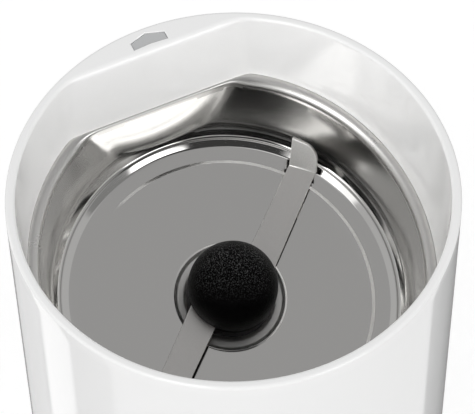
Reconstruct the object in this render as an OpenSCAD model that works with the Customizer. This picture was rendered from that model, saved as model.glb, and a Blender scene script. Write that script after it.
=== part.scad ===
// Base unit of an electric spice grinder: a white cylindrical casing with a D-shaped collar,
// a tilted stainless bowl, a two-armed blade and a universal motor on the bowl's own axis.
// +Z is up, the origin is the middle of the footprint, and the flat segment is at the back (+Y).

/* [Casing] */
// Outer diameter of the casing
body_d = 92; // [90:1:98]
// Height of the rim above the table
rim_h = 142; // [138:1:160]
// Wall of the collar at its rim
rim_wall = 2; // [1.6:0.1:2.4]
// Wall of the casing below the bowl
shell_wall = 2.2; // [1.8:0.1:2.6]
// Width of the flat segment at the back, from the flat to the outer wall
segment_w = 6.6; // [6.2:0.1:7.2]
// Wall behind the flat
flat_wall = 2.2; // [1.8:0.1:2.4]
// Roof over the flat segment
roof_t = 2.4; // [1.8:0.1:3]
// Draft of the round collar wall in degrees
collar_draft = 2.4; // [1.5:0.1:3]
// Draft of the flat in degrees
flat_draft = 4.2; // [3:0.1:5]
// Rounding of the rim's edges
rim_round = 0.8; // [0.4:0.1:0.9]

/* [Bowl] */
// Tilt of the bowl and motor axis in degrees
bowl_tilt = 15; // [12:0.5:16]
// Depth of the bowl's floor below the rim of the casing
floor_drop = 43.8; // [42:0.2:46]
// Shift of the floor's centre towards the flat
floor_back = 3; // [2:0.2:3.6]
// How far the upper wall is set back to fill the corners beside the flat
wall_back = 3; // [2:0.1:3.2]
// Depth of the bowl along its axis
bowl_deep = 16.1; // [15:0.1:17]
// Width of the rolled lip round the bowl
lip_w = 2; // [1.6:0.1:2.6]
// How much narrower the floor is than the mouth, on the radius
bowl_flare = 4.1; // [3.5:0.1:5]
// Sheet thickness of the bowl
sheet_t = 0.8; // [0.6:0.1:1]
// Draft of the facet under the flat in degrees
facet_draft = 8; // [6:0.5:10]
// Width of the bead between the flat floor and the wall
bead_w = 5.6; // [5:0.1:6.4]
// Depth of the bead's channel
bead_deep = 0.9; // [0.5:0.1:1.2]
// Radius of the recess round the hub
hub_ring_r = 11.9; // [11:0.1:13]
// Depth of the recess round the hub
hub_ring_deep = 1.6; // [1:0.1:2]
// Thickness of the gasket between collar and lip
gasket_t = 0.6; // [0.4:0.1:0.8]

/* [Blade] */
// Angle of the blade at rest in degrees
blade_angle = 42.25; // [0:0.25:90]
// Gap between the blade's tips and the foot of the wall
blade_clear = 1.9; // [1.5:0.1:4]
// Width of an arm
arm_w = 6.9; // [5.5:0.1:7.5]
// Distance of an arm's middle line from the axis
arm_offset = 3.15; // [2:0.05:3.5]
// Thickness of the blade
blade_t = 1.2; // [1:0.1:1.5]
// Height of the blade's top above the floor
blade_h = 5.6; // [5:0.1:6.4]
// Length of the upturned tips
tip_len = 5; // [3:0.1:6]
// Upturn of the tips in degrees
tip_angle = 48; // [20:1:60]
// Inner radius of the tips' bend
bend_r = 1.2; // [0.8:0.1:2]
// Radius of the domed hub cap
cap_r = 9.6; // [9:0.1:10.4]
// Straight side of the hub cap under its dome
cap_side = 1.8; // [1:0.1:3]

/* [Motor] */
// Radius of the shaft
shaft_r = 2.5; // [2:0.1:3]
// Room between the lower back edge of the stator and the casing
motor_room = 7; // [6:0.5:9]
// Room between the motor's lower end and the base cover
low_room = 12; // [11:0.5:15]
// Air gap between armature and stator
air_gap = 0.6; // [0.4:0.1:0.8]
// Number of armature slots and commutator bars
slot_count = 12; // [10:2:16]
// Number of fan vanes
vane_count = 9; // [7:1:13]

/* [Lid interlock] */
// Travel of the arrow button
press_travel = 3; // [2:0.1:3.4]
// Width of the arrow
arrow_w = 7.5; // [6.5:0.1:8]
// Diameter of the return spring's wire
spring_wire = 0.5; // [0.4:0.05:0.6]
// Turns of the return spring
spring_turns = 6; // [4:1:8]

/* [Base] */
// Height of the rubber feet
foot_h = 3; // [2:0.2:4]
// Radius of the rubber feet
foot_r = 5.5; // [4.5:0.1:6.5]
// Thickness of the base cover
cover_t = 2.6; // [2.2:0.1:3.2]
// Number of vent slots in the base cover
vent_count = 7; // [5:2:9]
// Diameter of the cord that the gland takes
cord_d = 6; // [5.5:0.1:6.5]

/* [Hidden] */
$fn = 96;
eps = 0.01;
far = 200;
fit = 0.05;
gap = 0.3;

body_r = body_d / 2;
collar_r = body_r - rim_wall;
shell_r = body_r - shell_wall;
flat_y = body_r - segment_w;
floor_z = rim_h - floor_drop;
base_z = foot_h;
cover_top = base_z + cover_t;
lip_z = floor_z + bowl_deep * cos(bowl_tilt);
seat_w = bowl_deep + gasket_t;

// Radius of the collar's round wall, and place of its flat, at height z
function collar_r_at(z) = collar_r - (rim_h - z) * tan(collar_draft);
function flat_y_at(z) = flat_y - (rim_h - z) * tan(flat_draft);
// Height of the tilted plane that lies w above the bowl's floor, at depth y
function plane_z(y, w) = floor_z + (y - floor_back) * tan(bowl_tilt) + w / cos(bowl_tilt);
// Points of an arc about c
function arc(c, r, a0, a1, n) =
    [for (i = [0:n]) let (a = a0 + (a1 - a0) * i / n) c + r * [cos(a), sin(a)]];

mouth_r = collar_r_at(lip_z) - lip_w;
wall_foot_r = mouth_r - bowl_flare;
floor_r = wall_foot_r - bead_w;
lip_round = 1.2;
foot_round = 2.5;
foot_c = [wall_foot_r - 0.1 - foot_round * cos(80), foot_round * sin(80) - 0.5];
wall_low = foot_c + foot_round * [cos(9), -sin(9)];
lip_c = [mouth_r + lip_round, bowl_deep - lip_round];
facet_v = (flat_y_at(lip_z + 10) - floor_back + bowl_deep * sin(bowl_tilt)) / cos(bowl_tilt) - 0.7;
flange_r = shell_r - gap;
flange_flat = flat_y_at(lip_z) + 0.9;
seal_hole_r = 7;

// Places along the tilted axis, measured from the bowl's floor
chassis_w = -10.5;
chassis_t = 2.5;
bracket_w = -16;
bracket_t = 2.5;
upper_bearing_w = bracket_w + 0.5;
bearing_len = 5;
low_arm = 0.435 * body_r;
low_plate_t = 5.5;
low_plate_w = (cover_top + low_room - floor_z + low_arm * sin(bowl_tilt)) / cos(bowl_tilt) + low_plate_t;
// Between its two brackets the motor keeps the same proportions along its axis
motor_span = bracket_w - bracket_t - low_plate_w;
fan_w = bracket_w - bracket_t - 0.028 * motor_span;
fan_len = 0.0925 * motor_span;
coil_over = 0.111 * motor_span;
stack_w = fan_w - 0.24 * motor_span;
stack_len = 0.352 * motor_span;
stack_end = stack_w - stack_len;
comm_w = stack_end - 0.148 * motor_span;
comm_len = 0.185 * motor_span;
brush_h = 0.9 * comm_len;
brush_w = comm_w - comm_len / 2;
brush_low_w = brush_w - brush_h / 2;

// Sizes across the tilted axis, all in proportion to the stator that the casing has room for
stator_v = 2 * (shell_r - motor_room - floor_back + stack_end * sin(bowl_tilt)) / cos(bowl_tilt);
stator_w = 1.19 * stator_v;
stator_corner = 0.286 * stator_v;
armature_r = 0.319 * stator_v;
comm_r = 0.195 * stator_v;
fan_r = 0.393 * stator_v;
bearing_r = 0.167 * stator_v;
coil_slot = [0.131, 0.25] * stator_v;
coil_slot_at = [0.363, 0.208] * stator_v;
coil_leg = [0.11, 0.2175] * stator_v;
coil_leg_v = 0.22 * stator_v;
coil_turn_v = 0.371 * stator_v;
coil_turn_t = 0.119 * stator_v;
bolt_x = stator_w / 2 - 3.5;
bolt_r = 1.6;
leg_r = 3.4;
grommet_hole_r = 3.5;
grommet_bore_r = 1.8;
shoulder_r = 1.75;
cushion_r = floor_r - 1.6;
cushion_w = 3;
cushion_t = 1.5;
holder_in = comm_r + 1.4;
holder_room = 1.55;
holder_out = (shell_r - holder_room - floor_back + brush_low_w * sin(bowl_tilt)) / cos(bowl_tilt);
holder_len = holder_out - holder_in;
holder_w = 8;
brush_end = holder_in + 0.42 * holder_len;
brush_wire = 0.45;

// Blade
tip_top_r = wall_foot_r - blade_clear;
bend_a = tip_top_r - tip_len * cos(tip_angle) - bend_r * sin(tip_angle);
tip_w = arm_w - 0.9;
spacer_r = cap_r - 0.2;
spacer_w = 1;
shaft_top_w = blade_h + 5.9;

// Screw bosses that stand on the casing's wall
boss_r = 3.5;
boss_at = shell_r - boss_r + 0.3;
boss_angles = [-90, 30, 150];
boss_len = 7;
pilot_r = 1.45;
shank_r = 1.4;
screw_head_r = 2.8;
screw_head_t = 1.8;
pad_t = 4;

// Lid interlock
arrow_back = flat_y + 4.9;
arrow_front = flat_y + 1.9;
head_len = press_travel + 2;
head_drop = 0.2;
stem_w = 6;
stem_y0 = flat_y + 2.1;
stem_t = 1.7;
switch_hole_x = 6.5;
switch_hole_z = 6;
switch_screw_r = 1.05;
web_y = flat_y - 6.7;
web_t = 2;
grommet_v = web_y - 15.7;
switch_y0 = web_y + web_t + fit;
switch_dy = 6.4;
switch_dx = 20;
switch_top = floor_z - 9.7;
switch_dz = 10;
lever_x = -8.2;
lever_z = switch_top + 0.9;
lever_len = 16.6;
lever_rise = asin(press_travel / lever_len) + 0.1;
lever_t = 0.5;
lever_y = switch_y0 + switch_dy / 2;
lever_w = 3;
pin_r = 0.5;
nub_z = lever_z + lever_len * sin(lever_rise) + lever_t / 2 + gap;
bar_z = nub_z + 1;
bar_t = 3;
bar_y0 = lever_y - 2.1;
bar_y1 = lever_y + 2;
button_x = lever_x + 5.2;
button_r = 1.2;
button_top = lever_z + 5.2 * tan(lever_rise) - lever_t / 2 - 0.25;
spring_x = -13.8;
spring_y = lever_y;
spring_r = 1.95;
shelf_z = switch_top - 7.5;

// Base
cover_r = shell_r - gap;
foot_at = body_r - 13;
gland_z = cover_top + 6.9;
gland_r = 4.9;
gland_flange_r = 6.2;
vent_pitch = 5;
vent_w = 2.2;
cap_at = [-0.37, -0.3] * body_r;
cap_dx = 14;
cap_dy = 6.5;
foot_stem_r = 2.25;

ivory = "#f2f2f0";
steel = "#b4b2ae";
black = "#191919";
dark_grey = "#4a4a4a";
arrow_grey = "#b2b3b4";
zinc = "#c8c8c4";
copper = "#b0622c";
brass = "#c2a14e";
rubber_black = "#262626";
grey_nylon = "#8d9093";
cast_yellow = "#c8b23c";
red = "#a33b2e";

// Places children in the frame of the tilted bowl: origin at the floor's centre, +Z along its axis
module bowl_frame() {
    translate([0, floor_back, floor_z]) rotate([bowl_tilt, 0, 0]) children();
}

// All space below the tilted plane at w
module below_plane(w) {
    bowl_frame() translate([-far, -far, w - 2 * far]) cube(2 * far);
}

// All space in front of the collar's flat, moved forward by inset
module before_flat(inset = 0) {
    translate([0, flat_y - inset, rim_h]) rotate([-flat_draft, 0, 0])
        translate([-far, -2 * far, -far]) cube(2 * far);
}

// A tube or washer on the Z axis, standing on z0
module ring(r_out, r_in, z0, h) {
    translate([0, 0, z0]) difference() {
        cylinder(r = r_out, h = h);
        translate([0, 0, -1]) cylinder(r = r_in, h = h + 2);
    }
}

// A plate with rounded corners in the XY plane
module round_plate(w, d, r, h) {
    linear_extrude(h) round_outline(w, d, r);
}

// Hundredths of a millimetre, so that the straight sides and the corners of an outline meet exactly
function neat(v) = round(100 * v) / 100;

module round_outline(w, d, r) {
    x = neat(w / 2 - r);
    y = neat(d / 2 - r);
    corner = neat(r);
    square([2 * x, 2 * (y + corner)], center = true);
    square([2 * (x + corner), 2 * y], center = true);
    for (sx = [-1, 1], sy = [-1, 1]) translate([sx * x, sy * y]) circle(corner);
}

// Children at each screw boss on the casing's wall
module at_bosses() {
    for (a = boss_angles) rotate([0, 0, a]) translate([boss_at, 0, 0]) children();
}

// Height of the chassis pad under the boss at angle a
function pad_z(a) = plane_z(boss_at * sin(a), chassis_w);

// ---------- casing ----------

module housing() {
    color(ivory) difference() {
        union() {
            difference() {
                casing_body();
                collar_void();
                lower_void();
                segment_pocket();
            }
            casing_bosses();
        }
        translate([0, 0, rim_h - head_drop - head_len - press_travel - 1])
            linear_extrude(far) arrow_outline(gap);
        translate([0, 0, gland_z]) rotate([-90, 0, 0]) cylinder(r = gland_r + fit, h = far);
        at_bosses() translate([0, 0, cover_top - 1]) cylinder(r = pilot_r, h = 14);
        for (a = boss_angles) rotate([0, 0, a]) translate([boss_at, 0, pad_z(a) - 1])
            cylinder(r = pilot_r, h = boss_len);
    }
}

module casing_body() {
    rotate_extrude() polygon(concat(
        [[0, base_z], [body_r - 0.6, base_z], [body_r, base_z + 0.6]],
        arc([body_r - rim_round, rim_h - rim_round], rim_round, 0, 90, 6),
        [[0, rim_h]]));
}

// The D-shaped opening above the bowl
module collar_void() {
    low_z = rim_h - 60;
    difference() {
        intersection() {
            union() {
                translate([0, 0, low_z])
                    cylinder(r1 = collar_r_at(low_z), r2 = collar_r_at(rim_h + 1), h = rim_h + 1 - low_z);
                translate([0, 0, rim_h - rim_round])
                    cylinder(r1 = collar_r_at(rim_h - rim_round), r2 = collar_r + 2 * rim_round / 3 + 0.1,
                             h = rim_round + 0.1);
            }
            before_flat();
        }
        below_plane(seat_w - 1);
    }
}

// The round space under the collar that holds the bowl, the chassis and the motor
module lower_void() {
    intersection() {
        translate([0, 0, base_z - 1]) cylinder(r = shell_r, h = rim_h);
        below_plane(seat_w);
    }
}

// The hollow behind the flat, in which the interlock plunger runs
module segment_pocket() {
    difference() {
        translate([0, 0, floor_z]) cylinder(r = shell_r, h = rim_h - roof_t - floor_z);
        before_flat(-flat_wall);
    }
}

module casing_bosses() {
    intersection() {
        union() {
            at_bosses() translate([0, 0, cover_top]) cylinder(r = boss_r, h = 18);
            for (a = boss_angles) rotate([0, 0, a]) translate([boss_at, 0, pad_z(a)])
                cylinder(r = boss_r, h = boss_len);
        }
        cylinder(r = shell_r + 0.5, h = far);
    }
}

// ---------- bowl ----------

// Inside of the bowl as a profile of radius and height, from the hub to the mouth
function bowl_inside() = concat(
    [[0, -hub_ring_deep], [hub_ring_r - 0.9, -hub_ring_deep], [hub_ring_r, 0], [floor_r, 0],
     [floor_r + 0.45, -0.35 * bead_deep], [floor_r + 1, -bead_deep], [floor_r + 3, -bead_deep],
     [floor_r + 3.6, -0.55 * bead_deep], [floor_r + 4, -0.15 * bead_deep], [floor_r + 4.7, -0.15 * bead_deep],
     [floor_r + 5.1, -0.6 * bead_deep]],
    arc(foot_c, foot_round, -80, -9, 6),
    arc(lip_c, lip_round, 180, 90, 6));

// The same shape from below, one sheet further out
function bowl_outside() = concat(
    [[0, -hub_ring_deep - sheet_t], [hub_ring_r - 0.5, -hub_ring_deep - sheet_t],
     [hub_ring_r + 0.4, -sheet_t],
     [floor_r - 0.2, -sheet_t], [floor_r + 0.6, -bead_deep - sheet_t], [floor_r + 5.3, -bead_deep - sheet_t]],
    arc(foot_c, foot_round + sheet_t, -80, -9, 6),
    [[mouth_r + sheet_t, bowl_deep - sheet_t - lip_round], [mouth_r + sheet_t + 0.6, bowl_deep - sheet_t]]);

// The upper wall once more, set back towards the flat, on the inside and one sheet further out
module back_wall_inside() {
    translate([0, wall_back, 0]) rotate_extrude() polygon(concat(
        [[0, wall_low.y], [wall_low.x - wall_back, wall_low.y]],
        arc(lip_c, lip_round, 180, 90, 6),
        [[lip_c.x, bowl_deep + 1], [0, bowl_deep + 1]]));
}

module back_wall_outside() {
    translate([0, wall_back, 0]) rotate_extrude() polygon([
        [0, wall_low.y - 0.1], [wall_low.x - wall_back + sheet_t, wall_low.y - 0.1],
        [mouth_r + sheet_t, lip_c.y - sheet_t], [mouth_r + sheet_t + 0.6, bowl_deep - sheet_t],
        [0, bowl_deep - sheet_t]]);
}

// Space in front of the bowl's facet, whose top edge runs at v in the mouth's plane
module before_facet(v) {
    translate([0, v, bowl_deep]) rotate([-facet_draft, 0, 0]) translate([-far, -2 * far, -far]) cube(2 * far);
}

module bowl() {
    color(steel) difference() {
        union() {
            bowl_frame() intersection() {
                union() {
                    rotate_extrude() polygon(concat(bowl_outside(), [[0, bowl_deep - sheet_t]]));
                    back_wall_outside();
                }
                before_facet(facet_v + sheet_t);
            }
            bowl_flange();
        }
        bowl_frame() {
            intersection() {
                union() {
                    rotate_extrude()
                        polygon(concat(bowl_inside(), [[lip_c.x, bowl_deep + 1], [0, bowl_deep + 1]]));
                    back_wall_inside();
                }
                before_facet(facet_v);
            }
            translate([0, 0, -hub_ring_deep - 2]) cylinder(r = seal_hole_r, h = 3);
        }
    }
}

// The flat lip that the collar's gasket presses on
module bowl_flange() {
    intersection() {
        bowl_frame() translate([0, 0, bowl_deep - sheet_t]) cylinder(r = far, h = sheet_t);
        cylinder(r = flange_r, h = far);
        translate([-far, flange_flat - 2 * far, 0]) cube(2 * far);
    }
}

module rim_gasket() {
    color(rubber_black) difference() {
        intersection() {
            bowl_frame() translate([0, 0, bowl_deep]) cylinder(r = far, h = gasket_t);
            cylinder(r = flange_r, h = far);
            translate([-far, flange_flat - 2 * far, 0]) cube(2 * far);
        }
        intersection() {
            cylinder(r = collar_r_at(lip_z - 10) + 0.1, h = far);
            before_flat(0.1);
        }
    }
}

module bowl_cushion() {
    color(rubber_black) bowl_frame()
        ring(cushion_r, cushion_r - cushion_w, -sheet_t - cushion_t, cushion_t);
}

module shaft_seal() {
    color(rubber_black) bowl_frame() difference() {
        union() {
            ring(seal_hole_r - fit, shaft_r + 0.06, -hub_ring_deep - sheet_t - 3, sheet_t + 3.5);
            ring(seal_hole_r + 1.4, shaft_r + 1.5, -hub_ring_deep, 0.7);
            ring(seal_hole_r + 1.2, shaft_r + 1.5, -hub_ring_deep - sheet_t - 1.6, 1.6);
        }
        translate([0, 0, -hub_ring_deep - sheet_t - 4]) ring(seal_hole_r - 1.6, shaft_r + 1.2, 0, 3);
    }
}

// ---------- chassis ----------

module chassis() {
    color(grey_nylon) difference() {
        union() {
            intersection() {
                bowl_frame() translate([0, 0, chassis_w - chassis_t]) cylinder(r = far, h = chassis_t);
                cylinder(r = shell_r - 2 * gap, h = far);
            }
            bowl_frame() ring(cushion_r - 0.4, cushion_r - cushion_w + 0.4, chassis_w - eps,
                              -chassis_w - sheet_t - cushion_t + eps);
            bowl_frame() chassis_ribs();
            for (a = boss_angles) rotate([0, 0, a]) translate([boss_at - 1, 0, pad_z(a) - pad_t])
                cylinder(r = boss_r, h = pad_t);
            switch_web();
        }
        for (a = boss_angles) rotate([0, 0, a]) translate([boss_at, 0, pad_z(a)]) {
            translate([0, 0, -far / 2]) cylinder(r = shank_r + 0.2, h = far);
            cylinder(r = boss_r + gap, h = 6);
            translate([0, 0, -pad_t - 12]) cylinder(r = screw_head_r + gap, h = 12);
        }
        bowl_frame() translate([0, 0, -20]) cylinder(r = bearing_r + 3.4, h = 12);
        bowl_frame() for (s = [-1, 1]) translate([0, s * grommet_v, -20])
            cylinder(r = grommet_hole_r, h = 12);
        translate([-17.5, web_y + web_t + 0.4, floor_z - 30]) cube([35, 20, 60]);
        at_switch_holes() translate([0, web_y - 1, 0]) rotate([-90, 0, 0])
            cylinder(r = switch_screw_r + fit, h = 6);
    }
}

module chassis_ribs() {
    for (i = [0:5]) rotate([0, 0, 60 * i]) translate([12.5, -0.9, chassis_w - eps])
        cube([cushion_r - cushion_w - 12, 1.8, 5]);
}

// The upright tab that carries the microswitch, with the shelf of the return spring
module switch_web() {
    left = spring_x - 3.2;
    translate([left, web_y, shelf_z - 2])
        cube([29, web_t, plane_z(web_y, chassis_w - chassis_t) - shelf_z + 3]);
    translate([left, web_y, shelf_z - 2]) cube([6.4, spring_y + 1.9 - web_y, 2]);
    translate([spring_x, spring_y, shelf_z - eps]) cylinder(r = spring_r - spring_wire - 0.2, h = 3.5);
}

module chassis_screws() {
    color(zinc) for (a = boss_angles) rotate([0, 0, a]) translate([boss_at, 0, pad_z(a) - pad_t]) {
        translate([0, 0, -screw_head_t]) cylinder(r = screw_head_r, h = screw_head_t);
        cylinder(r = shank_r, h = pad_t + boss_len - 1.5);
    }
}

module motor_grommets() {
    color(rubber_black) bowl_frame() for (s = [-1, 1]) translate([0, s * grommet_v, 0]) difference() {
        union() {
            translate([0, 0, bracket_w]) cylinder(r = 5, h = chassis_w - chassis_t - bracket_w);
            translate([0, 0, bracket_w]) cylinder(r = grommet_hole_r - fit, h = chassis_w - bracket_w + 1);
            translate([0, 0, chassis_w]) cylinder(r = 5, h = 2);
        }
        translate([0, 0, bracket_w - 1]) cylinder(r = grommet_bore_r, h = 12);
    }
}

module shoulder_screws() {
    color(zinc) bowl_frame() for (s = [-1, 1]) translate([0, s * grommet_v, 0]) {
        translate([0, 0, chassis_w + 2]) cylinder(r = 4, h = 1.6);
        translate([0, 0, bracket_w - bracket_t + gap])
            cylinder(r = shoulder_r, h = chassis_w + 2 - bracket_w + bracket_t - gap);
    }
}

// ---------- motor, fixed parts ----------

module upper_bracket() {
    color(zinc) bowl_frame() difference() {
        union() {
            translate([0, 0, bracket_w - bracket_t]) {
                round_plate(2 * bolt_x + 9, 12, 4.5, bracket_t);
                round_plate(12, 2 * grommet_v + 11, 5, bracket_t);
                cylinder(r = 12, h = bracket_t);
            }
            translate([0, 0, bracket_w - bracket_t])
                cylinder(r = bearing_r + 2, h = bearing_len + bracket_t + 1.5);
            for (s = [-1, 1]) translate([s * bolt_x, 0, stack_w])
                cylinder(r = leg_r, h = bracket_w - bracket_t - stack_w + eps);
        }
        translate([0, 0, bracket_w - bracket_t - 1])
            cylinder(r = bearing_r, h = bearing_len + bracket_t + 1.5);
        translate([0, 0, bracket_w]) cylinder(r = shaft_r + 1, h = 20);
        for (s = [-1, 1]) translate([s * bolt_x, 0, stack_w - 1]) cylinder(r = bolt_r + 0.1, h = 30);
        for (s = [-1, 1]) translate([0, s * grommet_v, bracket_w - bracket_t - 1])
            cylinder(r = grommet_bore_r, h = 6);
    }
}

module bearing_at(w) {
    ring(bearing_r - 0.02, shaft_r + 0.03, w, bearing_len);
}

module upper_bearing() {
    color(brass) bowl_frame() bearing_at(upper_bearing_w);
}

module stator_core() {
    color(dark_grey) bowl_frame() translate([0, 0, stack_end]) linear_extrude(stack_len) difference() {
        round_outline(stator_w, stator_v, stator_corner);
        circle(armature_r + air_gap);
        for (sx = [-1, 1], sv = [-1, 1]) translate([sx * coil_slot_at.x, sv * coil_slot_at.y])
            round_outline(coil_slot.x, coil_slot.y, 1);
        for (s = [-1, 1]) translate([s * bolt_x, 0]) circle(bolt_r + 0.1);
    }
}

// One coil round each pole, with legs through the slots and end turns lifted clear of the armature
module field_coils() {
    color(copper) bowl_frame() for (s = [-1, 1]) {
        for (x = [-1, 1]) translate([x * coil_slot_at.x, s * coil_leg_v, stack_end - coil_over + 1])
            round_plate(coil_leg.x, coil_leg.y, 1.2, stack_len + 2 * coil_over - 2);
        for (w = [stack_end - coil_over, stack_w + 1]) translate([0, s * coil_turn_v, w])
            round_plate(2 * coil_slot_at.x + coil_leg.x - 0.5, coil_turn_t, 1.8, coil_over - 1);
    }
}

module stator_bolts() {
    color(zinc) bowl_frame() for (s = [-1, 1]) translate([s * bolt_x, 0, 0]) {
        translate([0, 0, low_plate_w - low_plate_t])
            cylinder(r = bolt_r, h = bracket_w - low_plate_w + low_plate_t + 1);
        translate([0, 0, low_plate_w - low_plate_t - 2]) cylinder(r = 3, h = 2);
        translate([0, 0, bracket_w]) cylinder(r = 3, h = 2, $fn = 6);
    }
}

module lower_bracket() {
    color(black) bowl_frame() difference() {
        union() {
            translate([0, 0, low_plate_w - low_plate_t]) {
                round_plate(2 * bolt_x + 8, 11, 4, low_plate_t);
                round_plate(11, 2 * holder_out - 4, 4, low_plate_t);
                cylinder(r = bearing_r + 3, h = low_plate_t);
            }
            for (s = [-1, 1]) translate([s * bolt_x, 0, low_plate_w - eps])
                cylinder(r = leg_r, h = stack_end - low_plate_w + eps);
            for (a = [0, 180]) rotate([0, 0, a]) translate([-holder_w / 2, holder_in + 2.4, low_plate_w - eps])
                cube([holder_w, holder_len - 5.4, brush_low_w - low_plate_w + eps]);
        }
        translate([0, 0, low_plate_w - bearing_len]) cylinder(r = bearing_r, h = 20);
        translate([0, 0, low_plate_w - 20]) cylinder(r = shaft_r + 0.5, h = 40);
        for (s = [-1, 1]) translate([s * bolt_x, 0, low_plate_w - 20]) cylinder(r = bolt_r + 0.1, h = 60);
    }
}

module lower_bearing() {
    color(brass) bowl_frame() bearing_at(low_plate_w - bearing_len);
}

// Children once for each brush, with +Y pointing away from the commutator
module at_brushes() {
    bowl_frame() translate([0, 0, brush_w]) for (a = [0, 180]) rotate([0, 0, a]) children();
}

module brush_holders() {
    color(brass) at_brushes() difference() {
        translate([-holder_w / 2, holder_in, -brush_h / 2]) cube([holder_w, holder_len, brush_h]);
        translate([0.9 - holder_w / 2, holder_in - 1, 1 - brush_h / 2])
            cube([holder_w - 1.8, holder_len + 0.2, brush_h - 2]);
    }
}

module carbon_brushes() {
    color(black) at_brushes() difference() {
        translate([1 - holder_w / 2, comm_r - 2, 1.1 - brush_h / 2])
            cube([holder_w - 2, brush_end - comm_r + 2, brush_h - 2.2]);
        translate([0, 0, -far / 2]) cylinder(r = comm_r + 0.1, h = far);
    }
}

module brush_springs() {
    color(steel) at_brushes() translate([0, brush_end, 0]) rotate([-90, 0, 0])
        coil_spring(0.31 * (min(brush_h, holder_w + 1) - 2), brush_wire, holder_out - 0.8 - brush_end, 4);
}

// A compression spring on the Z axis, standing on z = 0
module coil_spring(r, wire, length, turns) {
    steps = 14;
    sides = 6;
    rings = turns * steps;
    points = [for (i = [0:rings], k = [0:sides - 1])
        let (a = 360 * i / steps, b = 360 * k / sides, q = r + wire / 2 * cos(b),
             z = wire / 2 + (length - wire) * i / rings + wire / 2 * sin(b))
        [q * cos(a), q * sin(a), z]];
    faces = concat(
        [[for (k = [0:sides - 1]) k]],
        [for (i = [0:rings - 1], k = [0:sides - 1])
            let (low = i * sides, up = low + sides, next = (k + 1) % sides)
            [low + k, up + k, up + next, low + next]],
        [[for (k = [sides - 1:-1:0]) rings * sides + k]]);
    polyhedron(points, faces);
}

// ---------- lid interlock ----------

// The arrow on the flat segment, grown by g
module arrow_outline(g = 0) {
    half = arrow_w / 2 + g;
    shoulder = arrow_front + 1.8 + g;
    polygon([[-half, arrow_front - g], [0, arrow_front + 0.3 - g], [half, arrow_front - g],
             [half, shoulder], [0, arrow_back + g], [-half, shoulder]]);
}

module interlock_plunger() {
    head_z = rim_h - head_drop - head_len;
    color(arrow_grey) union() {
        translate([0, 0, head_z]) linear_extrude(head_len) arrow_outline();
        translate([-5.2, stem_y0, head_z - 4]) cube([10.4, stem_t, rim_h - roof_t - gap - head_z + 4]);
        translate([-stem_w / 2, stem_y0, bar_z]) cube([stem_w, stem_t, head_z - bar_z]);
        translate([-stem_w / 2, bar_y0, bar_z]) cube([stem_w, stem_y0 + stem_t - bar_y0, bar_t]);
        translate([spring_x - 2.5, bar_y0, bar_z]) cube([9.5 - spring_x + 2.5, bar_y1 - bar_y0, bar_t]);
        translate([lever_x + lever_len - 1.2, lever_y - 1.3, nub_z]) cube([2, 2.6, bar_z - nub_z + eps]);
    }
}

module plunger_spring() {
    color(steel) translate([spring_x, spring_y, shelf_z])
        coil_spring(spring_r - spring_wire / 2, spring_wire, bar_z - shelf_z, spring_turns);
}

// Children at each of the two holes that fix the microswitch to its web
module at_switch_holes() {
    for (x = [-switch_hole_x, switch_hole_x]) translate([x, 0, switch_top - switch_hole_z]) children();
}

module microswitch() {
    color(dark_grey) difference() {
        union() {
            translate([-switch_dx / 2, switch_y0, switch_top - switch_dz])
                cube([switch_dx, switch_dy, switch_dz]);
            for (y = [lever_y - lever_w / 2 - 1.1, lever_y + lever_w / 2 + 0.2])
                translate([lever_x - 1.1, y, switch_top - eps]) cube([2.2, 0.9, 2 + eps]);
            for (x = [-6, 0, 6]) translate([x - 1.2, lever_y - 0.4, switch_top - switch_dz - 4])
                cube([2.4, 0.8, 4 + eps]);
        }
        translate([lever_x, switch_y0 - 1, lever_z]) rotate([-90, 0, 0])
            cylinder(r = pin_r + 0.06, h = switch_dy + 2);
        translate([button_x, lever_y, switch_top - 3.6]) cylinder(r = button_r + 0.06, h = 10);
        at_switch_holes() translate([0, switch_y0 - 1, 0]) rotate([-90, 0, 0])
            cylinder(r = switch_screw_r + 2 * fit, h = switch_dy + 2);
    }
}

module switch_screws() {
    color(zinc) at_switch_holes() {
        translate([0, web_y + 0.2, 0]) rotate([-90, 0, 0])
            cylinder(r = switch_screw_r, h = switch_y0 + switch_dy - web_y - 0.2);
        translate([0, switch_y0 + switch_dy, 0]) rotate([-90, 0, 0]) cylinder(r = 1.9, h = 1.1);
    }
}

module switch_lever() {
    color(steel) translate([lever_x, lever_y, lever_z]) union() {
        rotate([90, 0, 0]) translate([0, 0, -lever_w / 2 - 1]) cylinder(r = pin_r, h = lever_w + 2);
        rotate([0, -lever_rise, 0]) translate([0, -lever_w / 2, -lever_t / 2])
            cube([lever_len, lever_w, lever_t]);
    }
}

module switch_button() {
    color(red) translate([button_x, lever_y, switch_top - 2.5])
        cylinder(r = button_r, h = button_top - switch_top + 2.5);
}

// ---------- base ----------

module suppression_capacitor() {
    color(cast_yellow) translate([cap_at.x, cap_at.y, cover_top]) round_plate(cap_dx, cap_dy, 1, 12);
}

module base_cover() {
    color(dark_grey) difference() {
        union() {
            translate([0, 0, base_z]) cylinder(r = cover_r, h = cover_t);
            for (s = [-1, 1])
                translate([cap_at.x - 6, cap_at.y + s * (cap_dy / 2 + 0.75) - 0.6, cover_top - eps])
                    cube([12, 1.2, 5]);
        }
        at_bosses() {
            translate([0, 0, base_z - 1]) cylinder(r = shank_r + 0.2, h = far);
            translate([0, 0, base_z - 1]) cylinder(r = screw_head_r + gap, h = 1 + screw_head_t - 0.2);
        }
        at_feet() translate([0, 0, base_z - 1]) cylinder(r = foot_stem_r + fit, h = cover_t + 2);
        for (k = [-(vent_count - 1) / 2:(vent_count - 1) / 2]) translate([k * vent_pitch, 4, base_z - 1])
            round_plate(vent_w, 26 - abs(k) * 3, vent_w / 2 - 0.05, cover_t + 2);
    }
}

module at_feet() {
    for (a = [45:90:315]) rotate([0, 0, a]) translate([foot_at, 0, 0]) children();
}

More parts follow.
